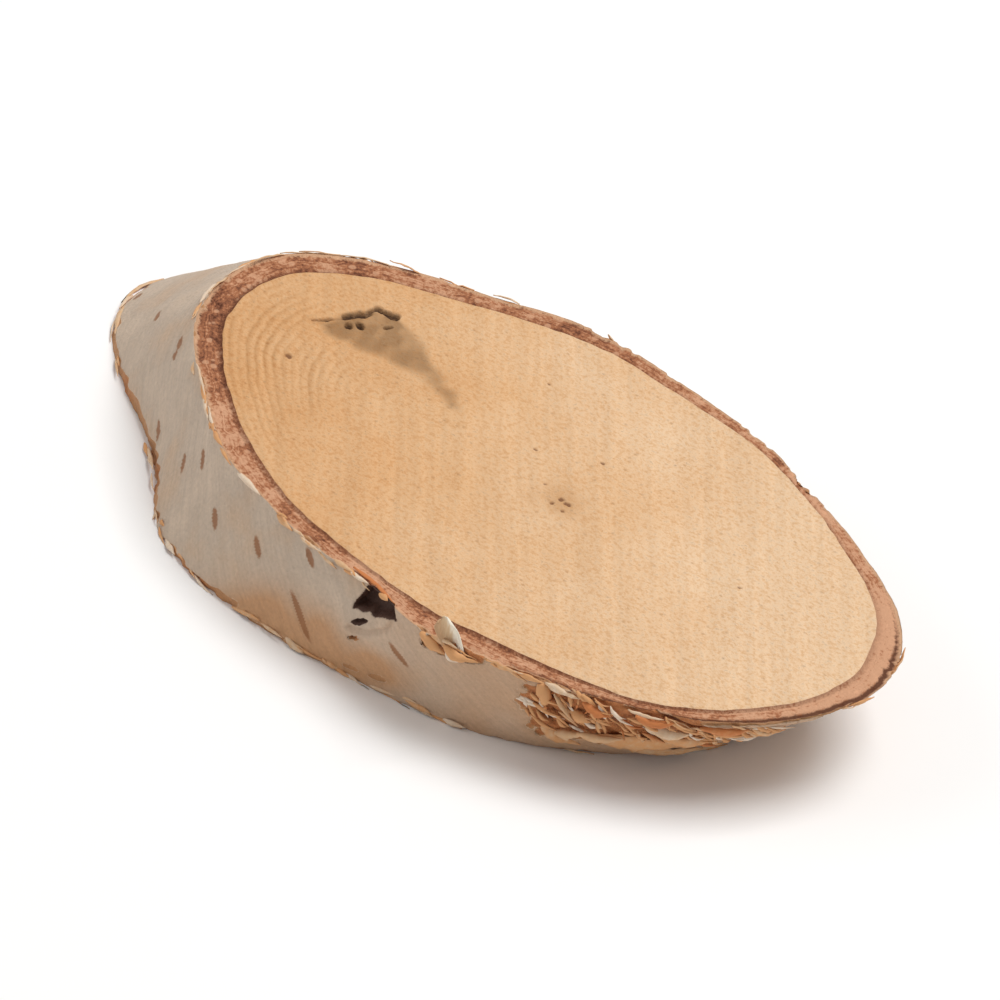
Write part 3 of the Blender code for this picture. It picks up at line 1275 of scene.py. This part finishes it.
    def scatter(self, low: np.ndarray, high: np.ndarray, step: float, rng: np.random.Generator) -> np.ndarray:
        """Points a little off a triangular grid.

        Args:
            low: The area's lowest corner.
            high: The area's highest corner.
            step: The grid's spacing.
            rng: Where the small random shifts come from.

        Returns:
            One row of x and y for each point.
        """
        xs = np.arange(low[0], high[0], step)
        ys = np.arange(low[1], high[1], step * sqrt(3) / 2)
        x, y = np.meshgrid(xs, ys)
        x = x + (np.arange(len(ys))[:, None] % 2) * step / 2
        grid = np.stack([x.ravel(), y.ravel()], axis=1)
        return grid + rng.uniform(-0.18, 0.18, grid.shape) * step

    def detail_gap(self, places: np.ndarray) -> np.ndarray:
        """Distance from the nearest crack or dark spot.

        Args:
            places: Places on the upper face, in millimetres.

        Returns:
            The distances.
        """
        gap = np.full(len(places), np.inf)
        for line, _ in self.cracks_mm:
            gap = np.minimum(gap, near_line(places, np.array(line))[0] - 0.3)
        for x, y, _ in self.flecks_mm:
            gap = np.minimum(gap, np.hypot(*(places - (x, y)).T))
        return gap

    def face(self, edge: np.ndarray, drop: float) -> tuple[
        np.ndarray, list[tuple[int, ...]], dict[str, np.ndarray],
    ]:
        """The sawn wood of one face, as triangles that are finest where there is most to show.

        Args:
            edge: The row of points where the wood meets the bark, which is levelled here.
            drop: 0 for the upper face, 1 for the lower one.

        Returns:
            Its inner points, its triangles (which count the edge's points first), and the
            numbers that its finish reads at the edge's and the inner points.
        """
        rng = np.random.default_rng(int(41 + drop))
        lean = np.array([-drop * self.branch.thickness * tan(self.branch.slant) / MM, 0.0])
        outline = edge[:, :2] / MM
        grid = self.scatter(outline.min(axis=0), outline.max(axis=0), self.face_step_mm, rng)
        if drop == 0:
            spots = [((x, y),) for x, y, _ in self.flecks_mm]
            edge_mm = self.fine_margin_mm
            fine = [
                self.scatter(
                    np.min(line, axis=0) - edge_mm, np.max(line, axis=0) + edge_mm, self.fine_step_mm, rng
                )
                for line in (sum((line for line, _ in self.cracks_mm), ()), *spots)
            ]
            # where two fine areas overlap, only the first one's points stay
            kept: list[np.ndarray] = []
            for area in fine:
                free = np.ones(len(area), bool)
                for earlier in kept:
                    low, high = earlier.min(axis=0) - 0.05, earlier.max(axis=0) + 0.05
                    free &= ~np.all((area > low) & (area < high), axis=1)
                kept.append(area[free & (self.detail_gap(area) < 0.6)])
                kept = [points for points in kept if len(points)]
            grid = np.concatenate([grid[self.detail_gap(grid) > 0.65], *kept])
        centred = grid - lean
        angle = np.arctan2(centred[:, 1], centred[:, 0])
        edge_radius = np.linalg.norm(outline - lean, axis=1)
        limit = np.interp(angle, self.angles(), edge_radius, period=2 * pi)
        grid = grid[limit - np.linalg.norm(centred, axis=1) > 0.16]
        count = len(outline)
        places = np.concatenate([outline, grid])
        ring = [(i, (i + 1) % count) for i in range(count)]
        _, _, triangles, sources, _, _ = delaunay_2d_cdt([Vector(p) for p in places], ring, [], 1, 1e-7)
        first = [source[0] for source in sources]
        faces = [tuple(first[i] for i in t) for t in triangles]
        if drop == 1:
            faces = [t[::-1] for t in faces]
        numbers = self.face_values(places, lean, edge_radius, drop)
        level = np.full((len(places), 1), self.branch.thickness * (1 - drop) / MM)
        solid = np.concatenate([places, level], axis=1)
        relief = 0.02 * rough_noise(solid, 1.3, 43) - 0.45 * numbers["crack"] - 0.10 * numbers["fleck"]
        solid[:, 2] += (1 - 2 * drop) * (np.minimum(relief, 0.03) - 0.03)
        edge[:, 2] = solid[:count, 2] * MM
        return solid[count:] * MM, faces, numbers

    def face_values(
        self, places: np.ndarray, lean: np.ndarray, edge_radius: np.ndarray, drop: float
    ) -> dict[str, np.ndarray]:
        """The numbers that the wood's finish reads on one face.

        Args:
            places: Places on the face, in millimetres.
            lean: Where the pith is.
            edge_radius: Distance from the pith to the wood's edge at each mesh angle.
            drop: 0 for the upper face, 1 for the lower one.

        Returns:
            The growth since the pith in millimetres, and how much stain, crack, pith and
            fleck there is, from 0 to 1.
        """
        centred = places - lean
        angle = np.arctan2(centred[:, 1], centred[:, 0])
        limit = np.interp(angle, self.angles(), edge_radius, period=2 * pi)
        growth = np.linalg.norm(centred, axis=1) / limit * self.branch.width / 2 / MM
        solid = np.concatenate([places, np.full((len(places), 1), 10 * drop)], axis=1)
        crack = np.zeros(len(places))
        stain = np.zeros(len(places))
        fleck = np.zeros(len(places))
        if drop == 0:
            for line, half in self.cracks_mm:
                gap, _ = near_line(places, np.array(line))
                crack = np.maximum(crack, ramp(half - gap + half * noise(solid, 0.6, 51), -0.14, 0.14))
            ragged = places + 0.35 * np.stack([noise(solid, 1.2, 52), noise(solid, 1.2, 53)], axis=1)
            inside = inside_outline(ragged, self.stain_mm)
            # streaks that run down from the crack along the saw's way
            streak = noise(places @ np.array([[0.20, 1.0, 0], [-0.55, 0.38, 0]]), 0.8, 55)
            stain = ramp(inside, -0.35, 0.85) * (0.95 - 0.3 * ramp(places[:, 0], -22.0, -12.0) + 0.3 * streak)
            for x, y, size in self.flecks_mm:
                gap = np.hypot((places[:, 0] - x) / 1.3, places[:, 1] - y)
                fleck = np.maximum(fleck, ramp(size - gap + 0.12 * noise(solid, 0.3, 54), -0.04, 0.1))
        apart = np.linalg.norm(places - lean - np.array(self.pith_mm), axis=1)
        pith = ramp(1 - apart / 3.4 + 0.3 * rough_noise(solid, 1.5, 56), 0.0, 1.1)
        return {"growth": growth, "stain": stain, "crack": crack, "pith": pith, "fleck": fleck}

    def build(self) -> bpy.types.Object:
        """Builds the closed skin and dresses it.

        Returns:
            The finished piece.
        """
        wall, wall_numbers = self.wall()
        top, top_numbers = self.bark_face(wall[0], 0.0)
        low, low_numbers = self.bark_face(wall[-1], 1.0)
        top_inner, top_faces, top_wood = self.face(top[0], 0.0)
        low_inner, low_faces, low_wood = self.face(low[0], 1.0)
        rows = np.concatenate([top, wall, low[::-1]])
        count = self.around
        total_rows = len(rows)
        start_top = total_rows * count
        start_low = start_top + len(top_inner)
        points = np.concatenate([rows.reshape(-1, 3), top_inner, low_inner]) + self.branch.middle
        points[:, 2] = np.maximum(points[:, 2], 0.0)

        faces: list[tuple[int, ...]] = []
        slots: list[int] = []
        for row in range(total_rows - 1):
            is_bark = self.bark_rows - 1 < row < self.bark_rows + self.wall_rows - 1
            for i in range(count):
                j = (i + 1) % count
                faces.append((row * count + i, (row + 1) * count + i, (row + 1) * count + j, row * count + j))
            slots += [2 if is_bark else 1] * count
        last = (total_rows - 1) * count
        for triangle in top_faces:
            faces.append(tuple(i if i < count else start_top + i - count for i in triangle))
        for triangle in low_faces:
            faces.append(tuple(last + i if i < count else start_low + i - count for i in triangle))
        slots += [0] * (len(top_faces) + len(low_faces))

        values = {key: np.zeros(len(points)) for key in (*top_numbers, *wall_numbers, *top_wood)}
        edge_of_wall = self.bark_rows * count
        end_of_wall = edge_of_wall + self.wall_rows * count
        values["ring"][:edge_of_wall] = top_numbers["ring"].ravel()
        values["ring"][edge_of_wall:end_of_wall] = 1.0
        values["ring"][end_of_wall:start_top] = low_numbers["ring"][::-1].ravel()
        for key in ("pit", "pale", "gap"):
            values[key][:edge_of_wall] = top_numbers[key].ravel()
        values["pale"][end_of_wall:start_top] = low_numbers["pale"][::-1].ravel()
        for key, numbers in wall_numbers.items():
            values[key][edge_of_wall:end_of_wall] = numbers.ravel()
        for key in top_wood:
            values[key][:count] = top_wood[key][:count]
            values[key][last : last + count] = low_wood[key][:count]
            values[key][start_top:start_low] = top_wood[key][count:]
            values[key][start_low:] = low_wood[key][count:]
        piece = mesh_object("birch_slice_body", points, faces, values, np.array(slots))
        for finish in (SawnBirch(), InnerBark(), PaperBark()):
            piece.data.materials.append(finish.material())
        return piece


# ---------------------------------------------------------------- loose bark


@dataclass(frozen=True)
class Ribbon:
    """A strip of peeled bark, laid along a few places on the wall.

    Each place is an angle in degrees, a drop, and a height off the bark in millimetres.
    """

    path: tuple[tuple[float, float, float], ...]
    wide_mm: float
    tilt: float = 20.0  # degrees, from lying flat to standing out of the bark
    twist: float = 0.0  # degrees that the tilt gains from end to end
    cup: float = 0.2  # how far it curls across itself, as a share of its width
    shade: float = 0.3  # 0 is cream, 1 rusty


@dataclass(frozen=True)
class Curl:
    """A sheet of paper bark that has let go at one side and rolls back round the branch."""

    angle: float  # degrees, where it still holds
    top: float  # drop of its upper end
    bottom: float  # drop of its lower end
    long_mm: float
    roll: float  # degrees that it turns over its length
    way: int = 1  # 1 if it runs anticlockwise from its hold, -1 if clockwise
    shade: float = 0.2
    lift: float = 6.0  # degrees off the bark where it starts


Sheet = tuple[np.ndarray, list[tuple[int, ...]], np.ndarray]


def solid_sheet(grid: np.ndarray, thickness: np.ndarray, outward: np.ndarray) -> Sheet:
    """Gives a surface some thickness.

    Args:
        grid: Its points, as rows by columns.
        thickness: Its thickness at each column.
        outward: Which way its weathered side faces at its first column.

    Returns:
        The closed sheet's points, its faces, and 1 at the points of its under side.
    """
    rows, columns = grid.shape[:2]
    down, across = np.gradient(grid, axis=0), np.gradient(grid, axis=1)
    normal = np.cross(down, across)
    normal /= np.linalg.norm(normal, axis=2, keepdims=True) + 1e-12
    half = thickness[None, :, None] / 2
    points = np.concatenate([(grid + normal * half).reshape(-1, 3), (grid - normal * half).reshape(-1, 3)])
    number = np.arange(rows * columns).reshape(rows, columns)
    shift = rows * columns
    faces: list[tuple[int, ...]] = []
    for r in range(rows - 1):
        for c in range(columns - 1):
            quad = (number[r, c], number[r + 1, c], number[r + 1, c + 1], number[r, c + 1])
            faces.append(quad)
            faces.append(tuple(i + shift for i in quad[::-1]))
    border = [*number[:, 0], *number[-1, 1:], *number[-2::-1, -1], *number[0, -2:0:-1]]
    for a, b in zip(border, border[1:] + border[:1]):
        faces.append((b, a, a + shift, b + shift))
    faces_out = float(np.sum(normal[:, 0] * outward)) > 0
    inside = np.repeat([0.0, 1.0] if faces_out else [1.0, 0.0], shift)
    return points, [tuple(int(i) for i in face) for face in faces], inside


def smooth_path(points: np.ndarray, count: int) -> np.ndarray:
    """A smooth line through a few points.

    Args:
        points: The points, one row each.
        count: How many points to return.

    Returns:
        Points along the line, its two ends included.
    """
    padded = np.concatenate([[2 * points[0] - points[1]], points, [2 * points[-1] - points[-2]]])
    at = np.linspace(0, len(points) - 1, count)
    start = np.minimum(at.astype(int), len(points) - 2)
    t = (at - start)[:, None]
    a, b, c, d = (padded[start + i] for i in range(4))
    return b + 0.5 * t * (c - a + t * (2 * a - 5 * b + 4 * c - d + t * (3 * (b - c) + d - a)))


@dataclass
class LooseBark:
    """Strips, curls and shreds of paper bark, each a thin closed sheet."""

    branch: Branch
    paper_mm: float = 0.09
    bits: int = 110  # small torn bits in the torn stretch
    bits_seed: int = 17
    shreds: int = 150  # thin shreds along the rims
    shreds_seed: int = 91
    clean_rim: tuple[float, float] = (20, 85)  # degrees between which the upper rim has no shreds
    # the torn stretch, where the bark peeled off in layers
    ribbons: tuple[Ribbon, ...] = (
        Ribbon(((-46, 0.03, 0.1), (-42.5, 0.16, 0.2), (-39.5, 0.34, 0.2)), 1.1, 30, 12, 0.2, 0.75),
        Ribbon(((-42.5, 0.07, 0.3), (-38.5, 0.20, 0.5), (-34.5, 0.35, 0.4)), 0.45, 75, 0, 0.1, 0.0),
        Ribbon(((-33, 0.66, 0.1), (-32.5, 0.57, 0.5), (-31, 0.49, 0.6)), 0.8, 40, 25, 0.3, 0.0),
        Ribbon(((-32, 0.49, 0.6), (-28.5, 0.48, 0.7), (-25, 0.50, 0.3)), 0.7, 60, -15, 0.3, 0.05),
        Ribbon(((-38, 0.06, 0.2), (-34.5, 0.11, 0.5), (-32, 0.14, 0.2)), 0.8, 55, 20, 0.2, 0.8),
        Ribbon(((-37, 0.24, 0.1), (-34.5, 0.28, 0.4), (-32.5, 0.33, 0.2)), 0.9, 35, -30, 0.25, 0.7),
        Ribbon(((-30, 0.05, 0.2), (-26.5, 0.09, 0.4), (-24, 0.07, 0.1)), 0.7, 60, 0, 0.2, 0.85),
        Ribbon(((-26, 0.24, 0.1), (-22.5, 0.22, 0.5), (-19, 0.27, 0.2)), 0.9, 45, 15, 0.2, 0.3),
        Ribbon(((-20, 0.12, 0.1), (-16, 0.10, 0.4), (-13, 0.13, 0.1)), 0.7, 50, 20, 0.2, 0.6),
        Ribbon(((-28, 0.62, 0.1), (-22, 0.58, 0.3), (-14, 0.62, 0.1)), 2.2, 8, 8, 0.08, 0.62),
        Ribbon(((-21, 0.42, 0.1), (-17, 0.45, 0.4), (-13, 0.47, 0.1)), 1.2, 20, 15, 0.15, 0.6),
        Ribbon(((-36, 0.60, 0.05), (-32, 0.70, 0.2), (-27, 0.80, 0.1)), 1.0, 20, 15, 0.15, 0.58),
        Ribbon(((-20, 0.80, 0.05), (-14, 0.83, 0.2), (-9, 0.84, 0.1)), 1.1, 12, 10, 0.15, 0.5),
        # the rusty patch beside the splinter
        Ribbon(((-71.5, 0.03, 0.1), (-67, 0.07, 0.3), (-63, 0.12, 0.2)), 0.8, 30, 15, 0.2, 1.05),
        Ribbon(((-66, 0.02, 0.2), (-62, 0.06, 0.4), (-57.5, 0.06, 0.1)), 0.7, 45, -10, 0.2, 0.9),
        Ribbon(((-64, 0.10, 0.1), (-61.5, 0.13, 0.3), (-59, 0.11, 0.1)), 0.5, 40, 20, 0.3, 0.0),
        # the lifted edge over the knot
        Ribbon(((-100, 0.0, 0.0), (-97, -0.005, 0.1), (-94, 0.0, 0.0)), 0.45, 60, 0, 0.2, 0.0),
        Ribbon(((-95, 0.005, 0.0), (-92.5, 0.0, 0.15), (-89.5, 0.0, 0.0)), 0.4, 50, 0, 0.2, 0.1),
        Ribbon(
            ((-96, -0.02, -0.35), (-91, -0.025, -0.3), (-86, -0.025, -0.25), (-81.5, -0.01, -0.3)),
            0.45, 85, 0, 0.2, 0.75,
        ),
    )
    # peeled sheets on the sides that lean away
    curls: tuple[Curl, ...] = (
        Curl(24, 0.30, 0.66, 2.6, 120, -1, 0.2), Curl(69, 0.60, 0.86, 2.2, 105, 1, 0.25),
        Curl(101, 0.18, 0.40, 1.9, 90, -1, 0.4), Curl(147, 0.46, 0.64, 1.7, 75, -1, 0.3),
    )

    def frame_at(self, angle: float, drop: float) -> tuple[np.ndarray, np.ndarray, np.ndarray]:
        """A place on the bark, with its two ways.

        Args:
            angle: Angle round the pith.
            drop: Share of the way down.

        Returns:
            The place, the way round the branch, and the way out of the bark.
        """
        branch = self.branch
        nudge = 0.01
        here, beside, below = (
            branch.place(np.array([a]), np.array([d]), branch.bark_radius(np.array([a]), np.array([d])))[0]
            for a, d in ((angle, drop), (angle + nudge, drop), (angle, drop + nudge))
        )
        outward = np.cross(below - here, beside - here)
        outward /= np.linalg.norm(outward)
        around = np.cross(branch.axes()[2], outward)
        around /= np.linalg.norm(around)
        return here + branch.middle, around, outward

    def ribbon_sheet(self, ribbon: Ribbon, seed: int, rows: int = 20, columns: int = 6) -> Sheet:
        """Lays one strip along its path.

        Args:
            ribbon: The strip.
            seed: Picks its ragged outline.
            rows: How many steps it has along its length.
            columns: How many points it has across.

        Returns:
            The closed sheet.
        """
        path = smooth_path(np.array(ribbon.path), rows)
        frames = [self.frame_at(radians(angle), drop) for angle, drop, _ in path]
        here, _, outward = (np.array([frame[i] for frame in frames]) for i in range(3))
        middle = here + outward * path[:, 2:] * MM
        along = np.gradient(middle, axis=0)
        along /= np.linalg.norm(along, axis=1, keepdims=True)
        side = np.cross(outward, along)
        side /= np.linalg.norm(side, axis=1, keepdims=True)
        side *= np.where(side[:, 2:] > 0, 1, -1)  # upwards
        share = np.linspace(0, 1, rows)  # it is blunt at its root and pointed at its tip
        tilt = np.radians(ribbon.tilt + ribbon.twist * share)[:, None]
        width_way = -np.cos(tilt) * side + np.sin(tilt) * outward
        bulge_way = np.sin(tilt) * side + np.cos(tilt) * outward
        rag = rough_noise(middle / MM, 0.5, seed)
        ends = np.sin(pi * np.clip(share, 0.03, 0.97) ** 0.7) ** 0.85
        wide = ribbon.wide_mm * MM * ends * (1 + 0.4 * rag)
        across = np.linspace(-0.5, 0.5, columns)
        bulge = ribbon.cup * (0.25 - across**2) * 4
        grid = middle[:, None] + wide[:, None, None] * (
            across[None, :, None] * width_way[:, None] + bulge[None, :, None] * bulge_way[:, None]
        )
        fray = noise(grid.reshape(-1, 3) / MM, 0.45, seed + 5).reshape(rows, columns)
        grid = grid + (0.08 * MM * fray)[..., None] * bulge_way[:, None]
        thin = self.paper_mm * MM * (0.35 + 0.65 * np.cos(pi * across))
        return solid_sheet(grid, thin, outward.mean(axis=0))

    def curl_sheet(self, curl: Curl, seed: int, rows: int = 16, columns: int = 22) -> Sheet:
        """Rolls one sheet back from the line where it holds.

        Args:
            curl: The sheet.
            seed: Picks its ragged outline.
            rows: How many points it has along the line where it holds.
            columns: How many steps it rolls in.

        Returns:
            The closed sheet.
        """
        frames = [self.frame_at(radians(curl.angle), d) for d in np.linspace(curl.top, curl.bottom, rows)]
        hold, ways, outs = (np.array([frame[i] for frame in frames]) for i in range(3))
        ways = ways * curl.way
        rag = rough_noise(hold / MM, 1.2, seed)
        taper = np.sin(np.linspace(0.35, pi - 0.2, rows)) ** 0.4
        long = curl.long_mm * MM * (1 + 0.3 * rag) * taper
        share = np.linspace(0, 1, columns)
        bend = radians(curl.lift) + radians(curl.roll) * share**0.8
        step_way = np.concatenate([[0], np.cumsum(np.cos(bend[:-1]))]) / (columns - 1)
        step_out = np.concatenate([[0], np.cumsum(np.sin(bend[:-1]))]) / (columns - 1)
        grid = hold[:, None] + long[:, None, None] * (
            step_way[None, :, None] * ways[:, None] + step_out[None, :, None] * outs[:, None]
        )
        grid = grid - outs[:, None] * 0.1 * MM
        wrinkle = noise(grid.reshape(-1, 3) / MM, 0.9, seed + 5).reshape(rows, columns)
        grid = grid + (wrinkle * 0.12 * MM * share)[..., None] * outs[:, None]
        thin = self.paper_mm * MM * (1 - 0.5 * share)
        return solid_sheet(grid, thin, outs.mean(axis=0))

    def build_strips(self) -> bpy.types.Object:
        """Builds the strips of the torn stretch.

        Returns:
            The finished piece.
        """
        sheets = [(*self.ribbon_sheet(r, 300 + n), r.shade) for n, r in enumerate(self.ribbons)]
        rng = np.random.default_rng(self.bits_seed)
        for number in range(self.bits):
            angle = rng.uniform(-45, -8)
            drop = 0.5 * rng.uniform(0.0, 1.0) ** 1.3 + (angle + 45) / 37 * 0.12
            reach = rng.uniform(1.8, 6.2)
            fall = rng.uniform(0.0, 0.075)
            out = rng.uniform(0.0, 0.45)
            path = (
                (angle - reach / 2, drop - fall, rng.uniform(-0.1, 0.1)), (angle, drop, out),
                (angle + reach / 2, drop + 1.4 * fall, rng.uniform(0.0, 0.4)),
            )
            ribbon = Ribbon(
                path, rng.uniform(0.14, 0.42), rng.uniform(0, 75), rng.uniform(-30, 30), 0.15,
                rng.choice([0.0, 0.5, 0.8, 1.05, 1.05]),
            )
            sheets.append((*self.ribbon_sheet(ribbon, 400 + number, rows=9, columns=4), ribbon.shade))
        return self.joined("bark_strips", sheets)

    def build_curls(self) -> bpy.types.Object:
        """Builds the sheets that roll back on the far sides.

        Returns:
            The finished piece.
        """
        sheets = [(*self.curl_sheet(c, 500 + n), c.shade) for n, c in enumerate(self.curls)]
        return self.joined("bark_curls", sheets)

    def build_shreds(self) -> bpy.types.Object:
        """Builds the thin shreds that the saw left along both rims of the bark.

        Returns:
            The finished piece.
        """
        rng = np.random.default_rng(self.shreds_seed)
        sheets = []
        for number in range(self.shreds):
            lower = rng.random() < 0.6
            angle = rng.uniform(-180, 180)
            drop = rng.uniform(0.93, 0.985) if lower else rng.uniform(0.0, 0.035)
            reach = rng.uniform(2.0, 8.0)
            slope = rng.uniform(-0.03, 0.03)
            out = rng.uniform(0.0, 0.14)
            path = (
                (angle - reach / 2, drop, -0.05), (angle, drop + slope, out),
                (angle + reach / 2, drop + 1.5 * slope, rng.uniform(-0.05, 0.3)),
            )
            ribbon = Ribbon(
                path, rng.uniform(0.15, 0.55), rng.uniform(0, 50), rng.uniform(-20, 20), 0.2,
                rng.uniform(0.05, 0.8),
            )
            if lower or not self.clean_rim[0] < angle < self.clean_rim[1]:
                sheets.append((*self.ribbon_sheet(ribbon, 600 + number, rows=10, columns=4), ribbon.shade))
        return self.joined("rim_shreds", sheets)

    def joined(self, name: str, sheets: list[tuple]) -> bpy.types.Object:
        """Joins sheets into one piece.

        Args:
            name: The piece's name.
            sheets: The points, faces, under-side marks and shade of each sheet.

        Returns:
            The finished piece.
        """
        points, faces, inside, shade = [], [], [], []
        start = 0
        for places, corners, under, tone in sheets:
            points.append(places)
            faces += [tuple(i + start for i in face) for face in corners]
            inside.append(under)
            shade.append(np.full(len(places), tone))
            start += len(places)
        every = np.concatenate(points)
        every[:, 2] = np.maximum(every[:, 2], 0.02 * MM)
        values = {"inside": np.concatenate(inside), "shade": np.concatenate(shade)}
        piece = mesh_object(name, every, faces, values)
        piece.data.materials.append(PeeledPaper().material())
        return piece


@dataclass
class Splinter:
    """A sliver of wood that the saw left standing on the bark."""

    branch: Branch
    angle: float = radians(-64.5)
    wide_mm: float = 1.95
    tall_mm: float = 3.1
    thick_mm: float = 0.26
    rows: int = 9
    columns: int = 14

    def build(self) -> bpy.types.Object:
        """Builds the sliver.

        Returns:
            The finished piece.
        """
        here, _, _ = LooseBark(self.branch).frame_at(self.angle, 0.0)
        inward = np.array([-cos(self.angle), -sin(self.angle), 0.0])
        foot = here + inward * 0.6 * MM - np.array([0, 0, 0.5 * MM])
        side = np.cross(inward, np.array([0, 0, 1.0]))
        spread = np.linspace(-0.5, 0.5, self.rows)
        up = np.array([-0.36, -0.26, 1.0])
        up /= np.linalg.norm(up)
        tip = self.tall_mm * MM * (0.95 - 0.5 * (spread - 0.12) ** 2) * (1 + 0.03 * np.sin(31 * spread))
        share = np.linspace(0, 1, self.columns)
        narrow = (0.82 + 0.35 * share) * np.sqrt(1 - 0.8 * share**6)
        bow = -0.5 * MM * (4 * spread**2)[:, None] * np.ones(self.columns)
        grid = (
            foot + (
                spread[:, None] * narrow[None, :] * self.wide_mm * MM
            )[..., None] * side + (tip[:, None] * share[None, :])[..., None] * up + bow[..., None] * inward
        )
        thin = self.thick_mm * MM * (1 - 0.7 * share)
        points, faces, _ = solid_sheet(grid, thin, -inward)
        across = np.tile(np.repeat(spread + 0.5, self.columns), 2)
        piece = mesh_object("knot_splinter", points, faces, {"across": across})
        piece.data.materials.append(SplitBirch().material())
        return piece


# ---------------------------------------------------------------- the studio


@dataclass(frozen=True)
class PalePaper(Finish):
    """Seamless background paper: matt and near white, with a tooth too fine to see."""

    name: str = "background_paper"
    white: str = "#FBFAF9"
    roughness: float = 0.9
    specular: float = 0.1

    def colour_and_height(self, tree: bpy.types.NodeTree) -> tuple[bpy.types.NodeSocket, ...]:
        """Builds the pattern.

        Args:
            tree: The material's node tree.

        Returns:
            The sockets that give the colour and the height of the relief in metres.
        """
        tooth = add_node(tree, "TexNoise", {"Scale": 900.0, "Detail": 2.0})
        colour = add_node(
            tree, "ValToRGB", {"Fac": tooth.outputs["Fac"]}, stops=((0.0, self.white), (1.0, self.white))
        )
        height = add_node(tree, "Math", {0: tooth.outputs["Fac"], 1: 0.01 * MM}, operation="MULTIPLY")
        return colour.outputs[0], height.outputs[0]


@dataclass
class Studio:
    """A pale floor, soft lamps, and a camera that looks down on the slice."""

    towards_camera: Vector = field(default_factory=lambda: Vector((0.4696, -0.6394, 0.6088)))
    image_up: Vector = field(default_factory=lambda: Vector((-0.5075, 0.3687, 0.7788)))
    distance: float = 0.9
    sensor_mm: float = 36.0
    view_width: float = 0.077
    floor_size: float = 4.0
    # (name, place, side, watts)
    lamps: tuple[tuple[str, tuple[float, float, float], float, float], ...] = (
        ("overhead_box", (0.18, 0.28, 0.85), 0.55, 6.55), ("side_box", (-0.5, -0.45, 0.45), 0.5, 1.1),
    )
    lamp_aim: tuple[float, float, float] = (0.0, 0.0, 0.004)
    room_colour: tuple[float, float, float, float] = (1.0, 0.99, 0.98, 1.0)
    room_light: float = 0.34

    def build_floor(self) -> bpy.types.Object:
        """Builds the floor.

        Returns:
            Nothing, though the floor, which is no part of the slice, is built and marked as backdrop.
        """
        half = self.floor_size / 2
        corners = np.array([(-half, -half, 0), (half, -half, 0), (half, half, 0), (-half, half, 0)])
        floor = mesh_object("floor", corners, [(0, 1, 2, 3)])
        floor.data.materials.append(PalePaper().material())
        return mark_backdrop(floor)

    def lamp(self, name: str, place: Vector, size: float, watts: float, aim: Vector) -> None:
        """Adds a square soft lamp.

        Args:
            name: The lamp's name.
            place: Where it hangs.
            size: The length of its side.
            watts: Its power.
            aim: The point that it faces.
        """
        data = bpy.data.lights.new(name, "AREA")
        data.shape = "SQUARE"
        data.size = size
        data.energy = watts
        lamp = bpy.data.objects.new(name, data)
        lamp.location = place
        lamp.rotation_euler = (aim - place).to_track_quat("-Z", "Y").to_euler()
        bpy.context.scene.collection.objects.link(lamp)

    def build_lamps(self) -> None:
        """Hangs a large soft box overhead, a weaker one beside it, and lights the room evenly."""
        for name, place, size, watts in self.lamps:
            self.lamp(name, Vector(place), size, watts, Vector(self.lamp_aim))
        world = bpy.data.worlds.new("studio")
        world.use_nodes = True
        background = world.node_tree.nodes["Background"]
        background.inputs["Color"].default_value = self.room_colour
        background.inputs["Strength"].default_value = self.room_light
        bpy.context.scene.world = world

    def build_camera(self, outline: np.ndarray) -> None:
        """Sets up the camera so that the slice lies in the middle of the picture.

        Args:
            outline: Points round the slice's rims.
        """
        data = bpy.data.cameras.new("camera")
        data.sensor_width = self.sensor_mm
        data.lens = self.sensor_mm * self.distance / self.view_width
        data.clip_start = 0.01
        camera = bpy.data.objects.new("camera", data)
        back = self.towards_camera.normalized()
        right = self.image_up.cross(back).normalized()
        up = back.cross(right)
        seen = outline @ np.array([right, up]).T
        sideways, upwards = (seen.min(axis=0) + seen.max(axis=0)) / 2
        target = right * sideways + up * upwards
        turn = Matrix((right, up, back)).transposed().to_4x4()
        camera.matrix_world = Matrix.Translation(target + back * self.distance) @ turn
        bpy.context.scene.collection.objects.link(camera)
        bpy.context.scene.camera = camera


def main() -> None:
    """Builds the slice, its loose bark and the studio."""
    logging.basicConfig(level=logging.INFO, format="%(message)s")
    low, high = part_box(NODE)
    branch = Branch(thickness=high.z - low.z)
    loose = LooseBark(branch)
    pieces = [
        (SliceBody(branch).build(), "birch_wood"), (loose.build_strips(), "birch_bark"),
        (loose.build_curls(), "birch_bark"), (loose.build_shreds(), "birch_bark"),
        (Splinter(branch).build(), "birch_wood"),
    ]
    for piece, slot in pieces:
        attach(piece, "root")
        LOG.info("%s: %d faces", piece.name, len(piece.data.polygons))
    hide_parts(NODE)

    studio = Studio()
    studio.build_floor()
    studio.build_lamps()
    studio.build_camera(branch.rims())
    bpy.context.scene.view_settings.view_transform = "Standard"


if __name__ == "__main__":
    main()
